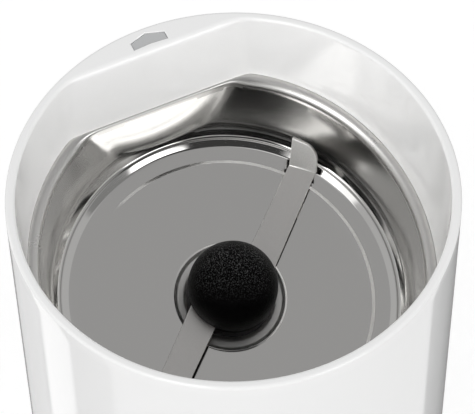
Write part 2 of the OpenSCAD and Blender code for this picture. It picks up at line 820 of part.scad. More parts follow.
module base_screws() {
    color(zinc) at_bosses() {
        translate([0, 0, base_z + 0.1]) cylinder(r = screw_head_r, h = screw_head_t - 0.3);
        translate([0, 0, base_z + 0.1]) cylinder(r = shank_r, h = 12);
    }
}

module rubber_feet() {
    color(rubber_black) at_feet() {
        cylinder(r1 = foot_r - 0.6, r2 = foot_r, h = foot_h);
        translate([0, 0, foot_h - eps]) cylinder(r = foot_stem_r, h = cover_t + eps);
        translate([0, 0, cover_top - eps]) cylinder(r1 = 2.9, r2 = 2, h = 1.8);
    }
}

module cord_gland() {
    color(rubber_black) translate([0, 0, gland_z]) rotate([-90, 0, 0]) difference() {
        union() {
            translate([0, 0, shell_r - 3]) cylinder(r = gland_flange_r, h = 2);
            translate([0, 0, shell_r - 3]) cylinder(r = gland_r, h = shell_wall + 2.6);
        }
        cylinder(r = cord_d / 2 + 0.1, h = far);
    }
}

// ---------- rotor ----------

module rotor_shaft() {
    color(steel) bowl_frame() translate([0, 0, low_plate_w - low_plate_t])
        cylinder(r = shaft_r, h = shaft_top_w - low_plate_w + low_plate_t);
}

module thrust_washers() {
    color(brass) bowl_frame() {
        ring(5, shaft_r + fit, low_plate_w + 0.1, 1.2);
        ring(5, shaft_r + fit, upper_bearing_w - 1.3, 1.2);
    }
}

module armature_core() {
    color(dark_grey) bowl_frame() translate([0, 0, stack_end]) linear_extrude(stack_len) difference() {
        circle(armature_r);
        circle(shaft_r + fit);
        for (i = [0:slot_count - 1]) rotate(360 * i / slot_count) {
            translate([armature_r - 3.4, 0]) circle(1.5);
            translate([armature_r - 3, -0.7]) square([4, 1.4]);
        }
    }
}

module armature_winding() {
    color(copper) bowl_frame() for (w = [stack_w + fit, stack_end - coil_over + 1 - fit]) translate([0, 0, w])
        rotate_extrude() difference() {
            translate([shaft_r + 1, 0]) square([armature_r - shaft_r - 1.9, coil_over - 1]);
            translate([armature_r - 0.9, w > stack_end ? coil_over - 1 : 0]) circle(2.2);
        }
}

module commutator() {
    color(copper) bowl_frame() difference() {
        union() {
            translate([0, 0, comm_w - comm_len]) cylinder(r = comm_r, h = comm_len);
            translate([0, 0, comm_w - 1.4]) cylinder(r = comm_r + 1.2, h = 1.4);
        }
        translate([0, 0, comm_w - comm_len - 1]) cylinder(r = shaft_r + fit, h = comm_len + 2);
        for (i = [0:slot_count - 1]) rotate([0, 0, 360 * i / slot_count])
            translate([comm_r - 0.8, -0.2, comm_w - comm_len - 1]) cube([3, 0.4, comm_len + 2]);
    }
}

module cooling_fan() {
    color(black) bowl_frame() difference() {
        union() {
            translate([0, 0, fan_w - fan_len]) cylinder(r = 6, h = fan_len);
            translate([0, 0, fan_w - 1]) cylinder(r = fan_r, h = 1);
            for (i = [0:vane_count - 1]) rotate([0, 0, 360 * i / vane_count])
                translate([5, -0.6, fan_w - fan_len]) rotate([0, 0, -12])
                    cube([fan_r - 6, 1.2, fan_len - eps]);
        }
        translate([0, 0, fan_w - fan_len - 1]) cylinder(r = shaft_r + fit, h = fan_len + 2);
    }
}

module blade_spacer() {
    color(black) bowl_frame() ring(spacer_r, shaft_r + fit, spacer_w, blade_h - blade_t - spacer_w);
}

// One arm of the blade along +X, its edge trailing on the -Y side
module blade_arm() {
    translate([0, -arm_offset - arm_w / 2, blade_h - blade_t]) linear_extrude(blade_t)
        polygon([[0, 0], [bend_a, 0.9], [bend_a, arm_w], [0, arm_w]]);
    translate([bend_a, -arm_offset + arm_w / 2, blade_h + bend_r]) {
        rotate([90, 0, 0]) rotate([0, 0, -90]) rotate_extrude(angle = tip_angle)
            translate([bend_r, 0]) square([blade_t, tip_w]);
        rotate([0, -tip_angle, 0]) translate([0, -tip_w, -bend_r - blade_t]) linear_extrude(blade_t)
            polygon([[0, 0], [tip_len - 1.6, 0], [tip_len, 1.6], [tip_len, tip_w], [0, tip_w]]);
    }
}

module blade() {
    color(steel) bowl_frame() rotate([0, 0, blade_angle]) difference() {
        union() {
            translate([0, 0, blade_h - blade_t]) cylinder(r = 8, h = blade_t);
            for (a = [0, 180]) rotate([0, 0, a]) blade_arm();
        }
        translate([0, 0, blade_h - blade_t - 1]) cylinder(r = shaft_r + fit, h = blade_t + 2);
    }
}

module hub_cap() {
    color(black) bowl_frame() difference() {
        union() {
            translate([0, 0, blade_h]) cylinder(r = cap_r, h = cap_side);
            translate([0, 0, blade_h + cap_side]) intersection() {
                sphere(cap_r);
                cylinder(r = far, h = far);
            }
        }
        translate([0, 0, blade_h - 1]) cylinder(r = shaft_r + fit, h = shaft_top_w - blade_h + 1.6);
    }
}

housing();
bowl();
rim_gasket();
bowl_cushion();
shaft_seal();
chassis();
chassis_screws();
motor_grommets();
shoulder_screws();
upper_bracket();
upper_bearing();
stator_core();
field_coils();
stator_bolts();
lower_bracket();
lower_bearing();
brush_holders();
carbon_brushes();
brush_springs();
microswitch();
switch_screws();
plunger_spring();
suppression_capacitor();
base_cover();
base_screws();
rubber_feet();
cord_gland();
rotor_shaft();
thrust_washers();
armature_core();
armature_winding();
commutator();
cooling_fan();
blade_spacer();
blade();
hub_cap();
interlock_plunger();
switch_lever();
switch_button();
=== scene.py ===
"""Electric spice grinder, base unit: the finished look of its packed construction model.

The product frame has +Z up, its origin on the table under the middle of the casing, and the flat segment
with the arrow button at the back (+Y). Lengths are in metres, and MM turns millimetres into metres.
"""

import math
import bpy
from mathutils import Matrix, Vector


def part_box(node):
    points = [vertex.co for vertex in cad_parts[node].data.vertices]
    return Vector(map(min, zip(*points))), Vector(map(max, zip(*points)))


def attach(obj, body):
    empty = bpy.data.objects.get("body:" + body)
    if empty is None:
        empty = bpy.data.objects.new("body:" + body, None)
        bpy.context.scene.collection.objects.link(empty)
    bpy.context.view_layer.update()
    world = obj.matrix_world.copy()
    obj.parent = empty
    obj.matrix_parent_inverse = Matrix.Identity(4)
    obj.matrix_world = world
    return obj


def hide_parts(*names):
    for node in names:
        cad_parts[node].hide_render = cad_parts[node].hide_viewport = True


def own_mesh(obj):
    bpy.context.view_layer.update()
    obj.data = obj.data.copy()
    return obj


bl_info = {
    "name": "Spice Grinder Finish",
    "version": (1, 0, 0),
    "blender": (4, 5, 0),
    "location": "3D View > Sidebar > Grinder",
    "description": "Builds the casing, bowl, blade and base of a spice grinder round its construction model",
    "category": "Object",
}

import bmesh
import bpy
import numpy as np
from bpy.props import FloatProperty, FloatVectorProperty, IntProperty, PointerProperty
from bpy.types import Operator, Panel, PropertyGroup
from mathutils import Matrix, Vector

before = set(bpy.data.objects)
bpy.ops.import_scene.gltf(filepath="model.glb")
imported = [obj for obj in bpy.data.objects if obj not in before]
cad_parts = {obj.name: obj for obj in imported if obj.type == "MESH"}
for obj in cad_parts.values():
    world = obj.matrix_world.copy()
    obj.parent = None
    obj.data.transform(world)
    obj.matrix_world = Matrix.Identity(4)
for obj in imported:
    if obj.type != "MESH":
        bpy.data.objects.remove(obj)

MM = 0.001
MERGE = 2e-6                # points closer than this become one
TINY = 1e-6                 # a length that counts as nothing
LEAST_SINE = 1e-3           # keeps the distance to the flat finite in directions that do not meet it
TURN_STEPS = 48             # points round a turned part
WAVE_LENGTH = 0.31416       # wavelength of a wave texture at scale 1

# How tight the corner between round wall and flat is: in the collar, and at the bowl's foot and mouth
COLLAR_CORNER, BOWL_FOOT_CORNER, BOWL_MOUTH_CORNER = 130, 200, 100

# Node kinds that many trees use
COORD, MATH, MIX, NOISE = "ShaderNodeTexCoord", "ShaderNodeMath", "ShaderNodeMix", "ShaderNodeTexNoise"
RANGE, SEPARATE, VECTOR = "ShaderNodeMapRange", "ShaderNodeSeparateXYZ", "ShaderNodeVectorMath"


def length(name, description, millimetres):
    """A length property whose default is given in millimetres."""
    return FloatProperty(name=name, description=description, default=millimetres * MM, unit="LENGTH",
                         precision=5)


def angle(name, description, degrees):
    """An angle property whose default is given in degrees."""
    return FloatProperty(name=name, description=description, default=math.radians(degrees), unit="ROTATION")


def number(name, description, value):
    """A property that is a plain number."""
    return FloatProperty(name=name, description=description, default=value, precision=4)


def colour(name, description, code):
    """A colour property whose default is an sRGB hex code."""
    return FloatVectorProperty(name=name, description=description, default=linear(code)[:3],
                               subtype="COLOR", size=3, min=0, max=1)


def linear(code):
    """An sRGB hex code as linear RGBA."""
    parts = [int(code[i:i + 2], 16) / 255 for i in (1, 3, 5)]
    return (*[c / 12.92 if c <= 0.04045 else ((c + 0.055) / 1.055) ** 2.4 for c in parts], 1.0)


# ---------- settings ----------


class GRINDER_PG_casing(PropertyGroup):
    """Sizes of the white casing and its D-shaped collar."""

    radius: length("Radius", "Outer radius of the casing", 46)
    rim_height: length("Rim height", "Height of the rim above the table", 142)
    rim_wall: length("Rim wall", "Wall of the collar at its rim", 2)
    shell_wall: length("Shell wall", "Wall of the casing below the bowl", 2.2)
    segment: length("Segment", "Width of the flat segment at the back", 6.6)
    flat_wall: length("Flat wall", "Wall behind the flat", 2.2)
    roof: length("Roof", "Roof over the hollow in the flat segment", 2.4)
    hollow: length("Hollow", "Height of the foot of the hollow in the flat segment", 95)
    collar_draft: angle("Collar draft", "Draft of the collar's round wall", 2.4)
    flat_draft: angle("Flat draft", "Draft of the flat", 4.2)
    edge_round: length("Edge rounding", "Rounding of the rim's edges", 0.7)
    chord_round: length("Chord rounding", "Extra rounding of the edge over the flat", 0.5)
    skirt: length("Skirt", "How far the collar reaches down past the gasket's top", 0.72)
    slot_gap: length("Slot gap", "Gap between the arrow and its slot", 0.12)
    slot_foot: length("Slot foot", "Height of the foot of the arrow's slot", 131)
    cord_hole: length("Cord hole", "Radius of the hole for the cord gland", 4.95)
    cord_height: length("Cord height", "Height of the cord hole above the table", 12.5)
    tint: colour("Plastic", "Colour of the casing", "#fbfbfb")


class GRINDER_PG_bowl(PropertyGroup):
    """Sizes of the stainless bowl, which leans towards the user."""

    tilt: angle("Tilt", "Tilt of the bowl's axis", 15)
    floor_height: length("Floor height", "Height of the middle of the floor", 98.2)
    floor_back: length("Floor shift", "Shift of the floor's middle towards the flat", 3)
    depth: length("Depth", "Depth of the bowl along its axis", 16.1)
    lip: length("Lip", "Width of the rolled lip beside the round wall", 2.2)
    flat_lip: length("Flat lip", "Width of the lip along the flat", 0.6)
    lip_drop: length("Lip drop", "How far the lip at the flat lies below the rim", 17.7)
    lip_height: length("Lip height", "Height of the brushed lip, down from the mouth", 1.7)
    sheet: length("Sheet", "Thickness of the sheet", 0.8)
    floor_radius: length("Floor radius", "Radius of the flat floor inside its bead", 31.1)
    wall_low: length("Wall radius", "Radius of the wall at its foot", 38.2)
    wall_low_height: length("Foot height", "Height at which the wall has that radius", 1.6)
    band: angle("Band", "Slope of the band between the bead and the wall", 47)
    facet_draft: angle("Facet draft", "Draft of the facet under the flat", 10.5)
    recess_radius: length("Recess radius", "Radius of the recess round the hub", 11.9)
    recess_depth: length("Recess depth", "Depth of the recess round the hub", 1.6)
    seal_hole: length("Seal hole", "Radius of the hole for the shaft seal", 7)
    gasket: length("Gasket", "Thickness of the gasket over the lip", 0.6)
    tint: colour("Steel", "Colour of the steel sheet", "#cecdcb")


class GRINDER_PG_rotor(PropertyGroup):
    """Sizes of the blade and its hub."""

    angle: angle("Angle", "Angle of the blade at rest", 42.25)
    top: length("Blade height", "Height of the blade's top face above the floor", 5.6)
    bend_at: length("Bend place", "Distance of the bend's start from the axis", 30.58)
    bend_radius: length("Bend radius", "Inside radius of the bend in the construction model", 1.2)
    fold: length("Fold radius", "Inside radius of the finished bend", 0.45)
    tip_angle: angle("Tip angle", "How far the tips are bent up", 48)
    tip_edge: length("Tip edge", "Place across the arm of the tip's trailing edge", 0.3)
    skew: number("Skew", "How far the fold runs outwards across the arm", 0.156)
    lean: number("Lean", "How far the tip leans back across the arm", 0.27)
    tip_length: length("Tip length", "Length of the tips in the construction model", 5)
    reach: number("Reach", "Length of the finished tips against the construction's", 1.2)
    band_start: length("Band start", "Where the underside's bright band starts along the arm", 24.6)
    band_end: length("Band end", "Where the underside's bright band ends along the arm", 28.4)
    corner: length("Corner", "Rounding of the tip's corners", 0.8)
    edge: length("Edge", "Rounding of the blade's edges", 0.18)
    spacer_edge: length("Spacer edge", "Rounding of the spacer's edges", 0.2)
    cap_radius: length("Cap radius", "Radius of the domed hub cap", 9.6)
    cap_side: length("Cap side", "Straight side of the hub cap", 1.8)
    cap_low: length("Cap seat", "Height of the hub cap's seat above the floor", 5.6)


class GRINDER_PG_interlock(PropertyGroup):
    """Sizes of the arrow button's edges and of the return spring under it."""

    edge: length("Edge", "Rounding of the arrow button's edges", 0.15)
    turns: number("Turns", "Number of turns of the spring", 6)
    radius: length("Radius", "Radius of the coil to the middle of the wire", 1.7)
    wire: length("Wire", "Diameter of the wire", 0.5)
    length: length("Length", "Length between the middles of the end turns", 12.35)
    press: length("Press", "How far the spring shortens when the arrow is pressed", 3.05)


class GRINDER_PG_base(PropertyGroup):
    """Sizes of the underside."""

    foot_height: length("Foot height", "Height of the rubber feet", 3)
    foot_radius: length("Foot radius", "Radius of the rubber feet", 5.5)
    foot_stem: length("Foot stem", "Radius of the stem that snaps through the cover", 2.25)
    foot_at: length("Foot place", "Distance of the feet from the middle", 33)
    feet: IntProperty(name="Feet", description="Number of rubber feet", default=4, min=3)
    cover: length("Cover", "Thickness of the base cover", 2.6)
    screw_at: length("Screw place", "Distance of the base screws from the middle", 40.6)
    screw_radius: length("Screw radius", "Radius of a base screw's shank", 1.4)
    screw_head: length("Screw head", "Radius of a base screw's head", 2.8)
    screws: IntProperty(name="Screws", description="Number of base screws", default=3, min=2)


class GRINDER_PG_stage(PropertyGroup):
    """The floor, the light and the camera."""

    floor: colour("Floor", "Colour of the floor", "#d0d0d0")
    lift: number("Lift", "Light that the camera sees over the floor's own", 0.5)
    around: number("Around", "Brightness of the studio's walls in reflections", 0.6)
    soft: number("Soft", "Strength of the soft light on matt surfaces", 1.04)
    gather: number("Gather", "Extra soft light that polished steel throws on matt walls", 2.4)
    slope: FloatVectorProperty(name="Slope", description="Direction in which the soft light grows",
                               default=(-0.28, -0.42, -0.3), subtype="XYZ")
    lens: number("Lens", "Focal length in millimetres on a 36 mm wide sensor", 219.26)
    pitch: angle("Pitch", "How far the camera looks down", 55.840467)
    roll: angle("Roll", "Turn of the camera about its own axis", 1.025594)
    heading: angle("Heading", "Turn of the view about the vertical", 23.720453)
    camera_at: FloatVectorProperty(name="Camera place", description="Place of the camera", subtype="XYZ",
                                   default=(-0.13173, -0.30179, 0.62178), unit="LENGTH")


# ---------- shared tools ----------


def collar_outline(casing, z, phi, grow=0.0):
    """Radius of the collar's D-shaped opening at height z and direction phi, grown outwards by grow."""
    down = casing.rim_height - z
    round_r = casing.radius - casing.rim_wall - down * math.tan(casing.collar_draft) + grow
    flat_y = casing.radius - casing.segment - down * math.tan(casing.flat_draft) + grow
    flat_r = flat_y / np.maximum(np.sin(phi), LEAST_SINE)
    return soft_min(round_r + 0 * flat_r, flat_r, COLLAR_CORNER)


def soft_min(a, b, sharpness):
    """The smaller of two radii, with the corner between them rounded off."""
    small, large = np.minimum(a, b), np.maximum(a, b)
    return small * (1 + (small / large) ** sharpness) ** (-1 / sharpness)


def bowl_matrix(bowl):
    """From the bowl's own frame, whose +Z is its leaning axis, to the product frame."""
    return Matrix.Translation((0, bowl.floor_back, bowl.floor_height)) @ Matrix.Rotation(bowl.tilt, 4, "X")


def to_product(bowl, points):
    """Points of the bowl's frame in the product frame, as an array of the same shape."""
    turn = np.array(bowl_matrix(bowl))
    return points @ turn[:3, :3].T + turn[:3, 3]


def plane_height(bowl, y, w):
    """Height, at depth y, of the leaning plane that lies w above the bowl's floor."""
    return bowl.floor_height + (y - bowl.floor_back) * math.tan(bowl.tilt) + w / math.cos(bowl.tilt)


def fine_angles():
    """Directions round a D-shaped ring, closer together at its two corners."""
    spans = ((0, 55, 1.0), (55, 70, 0.4), (70, 110, 1.0), (110, 125, 0.4), (125, 360, 1.0))
    return np.radians(np.concatenate([np.arange(*span) for span in spans]))


def polar(radius, phi, height):
    """A ring of points from distance, direction and height."""
    return np.stack([radius * np.cos(phi), radius * np.sin(phi), np.broadcast_to(height, phi.shape)], axis=1)


def round_path(corners):
    """A path of (radius, height) through corners (radius, height, rounding), each rounded off by a curve."""
    steps, longest = 5, 0.49
    out = []
    for i, (x, y, r) in enumerate(corners):
        here = Vector((x, y))
        if r == 0 or i in (0, len(corners) - 1):
            out.append(here)
            continue
        a = Vector(corners[i - 1][:2]) - here
        b = Vector(corners[i + 1][:2]) - here
        back = min(r / math.tan(a.angle(b) / 2), longest * a.length, longest * b.length)
        start, end = here + a.normalized() * back, here + b.normalized() * back
        for k in range(steps + 1):
            t = k / steps
            out.append(start * (1 - t) ** 2 + here * 2 * t * (1 - t) + end * t * t)
    return [(p.x, p.y) for p in out]


def new_object(name, data):
    """An object for a mesh or camera, linked to the scene."""
    made = bpy.data.objects.new(name, data)
    bpy.context.scene.collection.objects.link(made)
    return made


def mesh_object(name, points, faces):
    """A mesh object from points and faces."""
    mesh = bpy.data.meshes.new(name)
    mesh.from_pydata(points, [], faces)
    return new_object(name, mesh)


def loft(name, rings, closed=False):
    """A mesh object through rings of as many points each; closed joins the last ring to the first."""
    count, size = len(rings), len(rings[0])
    faces = []
    for i in range(count if closed else count - 1):
        low, up = i * size, (i + 1) % count * size
        faces += [(low + k, low + (k + 1) % size, up + (k + 1) % size, up + k) for k in range(size)]
    return mesh_object(name, np.concatenate(rings).tolist(), faces)


def prism(name, levels):
    """A closed prism through outlines given as (list of (x, y), z)."""
    size, last = len(levels[0][0]), len(levels) - 1
    points = [(x, y, z) for outline, z in levels for x, y in outline]
    faces = [(i * size + k, i * size + (k + 1) % size, (i + 1) * size + (k + 1) % size, (i + 1) * size + k)
             for i in range(last) for k in range(size)]
    faces += [tuple(range(size))[::-1], tuple(range(last * size, (last + 1) * size))]
    made = mesh_object(name, points, faces)
    clean(made)
    return made


def lathe(name, corners):
    """A closed turned shape about the Z axis, from corners (radius, height, rounding) in millimetres."""
    turn = np.linspace(0, 2 * math.pi, TURN_STEPS, endpoint=False)
    made = loft(name, [polar(r, turn, z) * MM for r, z in round_path(corners)])
    clean(made)
    return made


def clean(made, sharp_degrees=35):
    """Merges doubles, points the faces outwards and smooths all but the sharp edges."""
    bm = bmesh.new()
    bm.from_mesh(made.data)
    bmesh.ops.remove_doubles(bm, verts=bm.verts, dist=MERGE)
    bmesh.ops.dissolve_degenerate(bm, edges=bm.edges, dist=TINY)
    bmesh.ops.recalc_face_normals(bm, faces=bm.faces)
    bm.to_mesh(made.data)
    bm.free()
    smooth(made, sharp_degrees)


def smooth(made, sharp_degrees):
    """Shades smoothly across edges that turn less than the given angle."""
    made.data.shade_smooth()
    made.data.set_sharp_from_angle(angle=math.radians(sharp_degrees))


def bake_modifiers(made):
    """Turns the object and its modifiers into one plain mesh."""
    bpy.context.view_layer.update()
    evaluated = made.evaluated_get(bpy.context.evaluated_depsgraph_get())
    mesh = bpy.data.meshes.new_from_object(evaluated)
    made.modifiers.clear()
    made.data = mesh


def cut(made, *cutters):
    """Subtracts each cutter, and removes it."""
    for cutter in cutters:
        step = made.modifiers.new("cut", "BOOLEAN")
        step.operation, step.solver, step.object = "DIFFERENCE", "EXACT", cutter
        bake_modifiers(made)
        bpy.data.objects.remove(cutter)


def bevelled_copy(node, name, width, segments=2, reshape=None):
    """A copy of a CAD node with its loose triangles merged and its sharp edges rounded off. A reshape
    function may change the merged mesh first."""
    flat_degrees, sharp_degrees = 1, 30
    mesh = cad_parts[node].data.copy()
    made = new_object(name, mesh)
    bm = bmesh.new()
    bm.from_mesh(mesh)
    bmesh.ops.remove_doubles(bm, verts=bm.verts, dist=MERGE)
    bmesh.ops.dissolve_limit(bm, angle_limit=math.radians(flat_degrees), verts=bm.verts, edges=bm.edges)
    if reshape:
        reshape(bm)
    bm.to_mesh(mesh)
    bm.free()
    mesh.shade_smooth()
    step = made.modifiers.new("edges", "BEVEL")
    step.width, step.segments, step.limit_method = width, segments, "ANGLE"
    step.angle_limit = math.radians(sharp_degrees)
    # Large faces keep their own direction, so that only the rounded edges catch the light
    step = made.modifiers.new("normals", "WEIGHTED_NORMAL")
    step.weight = 100
    bake_modifiers(made)
    return made


def set_materials(made, *materials):
    """Gives the object these materials and no others."""
    made.data.materials.clear()
    for material in materials:
        made.data.materials.append(material)


def stand_in(made, node, body):
    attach(made, body)
    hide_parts(node)


def add(tree, kind, inputs=None, out=0, **settings):
    """Adds a node with its settings and gives one of its outputs. An input's value is a constant, or
    another node's output to link."""
    node = tree.nodes.new(kind)
    for key, value in settings.items():
        setattr(node, key, value)
    for key, value in (inputs or {}).items():
        if isinstance(value, bpy.types.NodeSocket):
            tree.links.new(value, node.inputs[key])
        else:
            node.inputs[key].default_value = value
    return node.outputs[out] if node.outputs else None


def start_tree(name, **inputs):
    """A geometry node tree with inputs given as Label=(kind of socket, value): the tree, the values by
    identifier and the sockets that the tree reads them from."""
    tree = bpy.data.node_groups.new(name, "GeometryNodeTree")
    tree.interface.new_socket("Geometry", in_out="OUTPUT", socket_type="NodeSocketGeometry")
    values = {}
    for label, (kind, value) in inputs.items():
        socket = tree.interface.new_socket(label, in_out="INPUT", socket_type="NodeSocket" + kind)
        values[socket.identifier] = value
    return tree, values, add(tree, "NodeGroupInput").node.outputs


def grown(name, tree, values, shape, material):
    """The plain mesh of a node tree whose last shape is realised and given its material."""
    whole = add(tree, "GeometryNodeRealizeInstances", {"Geometry": shape})
    coated = add(tree, "GeometryNodeSetMaterial", {"Geometry": whole, "Material": material})
    add(tree, "NodeGroupOutput", {"Geometry": coated})
    made = new_object(name, bpy.data.meshes.new(name))
    step = made.modifiers.new("nodes", "NODES")
    step.node_group = tree
    for identifier, value in values.items():
        step[identifier] = value
    bake_modifiers(made)
    return made


# ---------- materials ----------


def start_material(name, display):
    """An empty node material with a viewport colour, and its tree."""
    material = bpy.data.materials.new(name)
    material.use_nodes = True
    material.diffuse_color = display
    material.node_tree.nodes.clear()
    return material, material.node_tree


def coat(tree, shade, patches, rough, height, strength, depth, **more):
    """Ends a material: its colour, a gloss between two values that follows patches of noise, and a relief of
    the given strength and depth in millimetres."""
    gloss = add(tree, RANGE, {"Value": patches, "From Min": 0.3, "From Max": 0.7, "To Min": rough[0],
                              "To Max": rough[1]})
    relief = add(tree, "ShaderNodeBump", {"Height": height, "Strength": strength, "Distance": depth * MM})
    surface = add(tree, "ShaderNodeBsdfPrincipled", {"Base Color": shade, "Roughness": gloss,
                                                     "Normal": relief, **more})
    add(tree, "ShaderNodeOutputMaterial", {"Surface": surface})


def glossy_abs(tint):
    """Injection-moulded ABS from a polished tool: an even white with a clear, slightly soft reflection."""
    material, tree = start_material("glossy_moulded_abs", (*tint, 1))
    place = add(tree, COORD, out="Object")
    # Flow shade: patches of some 25 mm, a hardly visible warm and cool drift in the pigment
    drift = add(tree, NOISE, {"Vector": place, "Scale": 1 / (25 * MM), "Detail": 2.0})
    warm = (tint[0] * 0.985, tint[1] * 0.985, tint[2] * 0.98, 1)
    shade = add(tree, MIX, {"Factor": drift, 6: (*tint, 1), 7: warm}, 2, data_type="RGBA")
    # Handling haze: 8 mm patches that change the gloss a little
    haze = add(tree, NOISE, {"Vector": place, "Scale": 1 / (8 * MM), "Detail": 3.0})
    # Orange peel of the moulded skin, 1.6 mm waves less than 2 micrometres deep
    peel = add(tree, NOISE, {"Vector": place, "Scale": 1 / (1.6 * MM), "Detail": 1.0})
    coat(tree, shade, haze, (0.06, 0.09), peel, 0.25, 0.002, IOR=1.53)
    return material


def drawn_steel(name, bowl, rough):
    """Deep-drawn stainless sheet: mirror-like where polished, with faint turning lines round the axis."""
    material, tree = start_material(name, (*bowl.tint, 1))
    # The pattern turns about the leaning axis, so the point is first moved into the bowl's own frame
    inverse = bowl_matrix(bowl).inverted()
    own = add(tree, "ShaderNodeMapping", {
        "Vector": add(tree, COORD, out="Object"), "Location": inverse.translation,
        "Rotation": inverse.to_euler()}, vector_type="POINT")
    # Polishing lines, one for each 0.35 mm of radius
    lines = add(tree, "ShaderNodeTexWave", {
        "Vector": own, "Scale": WAVE_LENGTH / (0.35 * MM), "Distortion": 1.5, "Detail": 2.0,
        "Detail Scale": 0.6}, "Fac", wave_type="RINGS", rings_direction="Z", wave_profile="SIN")
    # Handling haze: 9 mm patches that change the gloss a little
    haze = add(tree, NOISE, {"Vector": own, "Scale": 1 / (9 * MM), "Detail": 4.0})
    coat(tree, (*bowl.tint, 1), haze, rough, lines, 0.05, 0.001, Metallic=1.0)
    return material


# The bowl's finishes. The polishing wheel reached the floor but not the recess round the hub, which stays
# satin. The wall was polished across its drawing marks, so it is softer than the floor, and the lip was only
# brushed.
BOWL_STEELS = {"polished": (0.05, 0.09), "satin": (0.4, 0.5), "buffed": (0.16, 0.21),
               "brushed": (0.27, 0.33)}

# The finishes of the blade, the carried-over nodes and the small pieces, each named for its material and
# process, or for the shade painted on it: two close shades, metallic, the two ends of the roughness, grain in
# mm, strength of the relief; then, where they differ from the usual, its depth in mm, the pattern's scale
# along
# X, Y and Z, the specular level, and a colour of painted glint, a painted highlight on grain peaks facing the
# light
FINISHES = {
    # Spark-eroded phenolic: deep black, with a painted glint, a painted highlight on the grain where it faces
    # up and back towards the light
    "spark_eroded_phenolic": ("#000000", "#060606", 0, (0.3, 0.5), 0.3, 1.0, 0.12, (1, 1, 1), 0.02,
                              "#585858"),
    # Satin ABS of the arrow button: pale grey, darker than the casing as painted shade for its slot, with a
    # soft sheen
    "satin_abs_painted_shade": ("#c4c5c6", "#bebfc0", 0, (0.4, 0.5), 0.4, 0.2),
    # Ground blade steel: a satin grey with a fine even grain
    "ground_blade_steel": ("#cac8c6", "#c2c0be", 1, (0.3, 0.38), 0.35, 0.2, 0.003),
    # Finely ground edge steel: the tips, brighter than the arms, with a close bright grain
    "fine_ground_edge": ("#f4f3f1", "#dcdbd8", 1, (0.34, 0.42), 0.35, 0.5, 0.004),
    # Painted shade on the blade steel: near black on the sides and on most of the underside, standing in for
    # the dark reflection under the blade
    "blade_steel_painted_shade": ("#0a0a0a", "#161514", 0.4, (0.5, 0.7), 0.8, 0.3, 0.01, (1, 1, 1), 0.2),
    # Moulded black elastomer: dull, with a dusty bloom
    "moulded_elastomer": ("#161616", "#202020", 0, (0.6, 0.8), 0.6, 0.4, 0.02),
    # Glass-filled nylon: mottled mid grey with fibre swirls
    "glass_filled_nylon": ("#85888b", "#95979a", 0, (0.45, 0.6), 1.2, 0.3, 0.01, (1, 3, 1)),
    # Zinc-plated steel: bright bluish grey with a cloudy passivation
    "zinc_plated_steel": ("#c4c6c8", "#aeb4ba", 1, (0.28, 0.42), 1.5, 0.15),
    # Stamped electrical steel: dark blued sheets, shown by level lines some 0.5 mm apart
    "stamped_electrical_steel": ("#4b4d52", "#33353a", 0.8, (0.4, 0.55), 0.5, 0.6, 0.05, (0.05, 0.05, 1)),
    # Enamelled copper wire: glossy orange brown, in upright strands some 0.35 mm wide
    "enamelled_copper_wire": ("#a8552a", "#7c3716", 0.9, (0.25, 0.4), 0.35, 0.7, 0.05, (1, 1, 0.1)),
    # Turned copper: bright, with darker turning marks
    "turned_copper": ("#b87a52", "#8e5634", 1, (0.22, 0.35), 0.3, 0.3, 0.006, (0.1, 0.1, 1)),
    # Oil-filled sintered bronze: a dull brown gold with open pores
    "sintered_bronze": ("#a18350", "#7c6238", 0.9, (0.45, 0.6), 0.25, 0.5, 0.02),
    # Pressed carbon: near black with a graphite glint
    "pressed_carbon": ("#141414", "#262628", 0.1, (0.4, 0.65), 0.3, 0.5, 0.02),
    # Moulded PBT: dark grey switch case with a matt skin
    "moulded_pbt": ("#3a3b3d", "#434446", 0, (0.5, 0.6), 0.5, 0.3),
    # Drawn spring steel: bright wire and strip with long drawing marks
    "drawn_spring_steel": ("#a9aaab", "#8f9091", 1, (0.2, 0.32), 0.3, 0.2, 0.004, (1, 1, 0.15)),
    # Cast epoxy box: glossy yellow with a slightly wavy face
    "cast_epoxy_box": ("#cfb23a", "#c4a52e", 0, (0.2, 0.3), 3, 0.2),
    # Moulded red acetal: waxy switch button
    "moulded_acetal": ("#a23a2d", "#953226", 0, (0.35, 0.45), 0.6, 0.2),
    # Textured ABS: the base cover's fine eroded grain in dark grey
    "textured_abs": ("#3b3c3e", "#47484a", 0, (0.5, 0.7), 0.6, 0.6, 0.03),
}

# The carried-over CAD nodes by finish
NODE_FINISH = {
    "moulded_elastomer": ("bowl_cushion", "motor_grommets"),
    "glass_filled_nylon": ("chassis",),
    "zinc_plated_steel": ("chassis_screws", "shoulder_screws", "upper_bracket", "stator_bolts",
                          "switch_screws"),
    "sintered_bronze": ("upper_bearing", "lower_bearing", "thrust_washers"),
    "stamped_electrical_steel": ("stator_core", "armature_core"),
    "enamelled_copper_wire": ("field_coils", "armature_winding"),
    "spark_eroded_phenolic": ("lower_bracket", "cooling_fan"),
    "turned_copper": ("brush_holders", "commutator"),
    "pressed_carbon": ("carbon_brushes",),
    "drawn_spring_steel": ("brush_springs", "rotor_shaft", "switch_lever"),
    "moulded_pbt": ("microswitch",),
    "cast_epoxy_box": ("suppression_capacitor",),
    "moulded_acetal": ("switch_button",),
}

# Direction of the light whose painted glint is put on the grain's peaks: up, and back to the right
PAINTED_GLINT_FACING = (0.3, 0.62, 0.72)


def finish(name):
    """The material of this name in the table, made when it is first asked for."""
    return bpy.data.materials.get(name) or worked(name, *FINISHES[name])


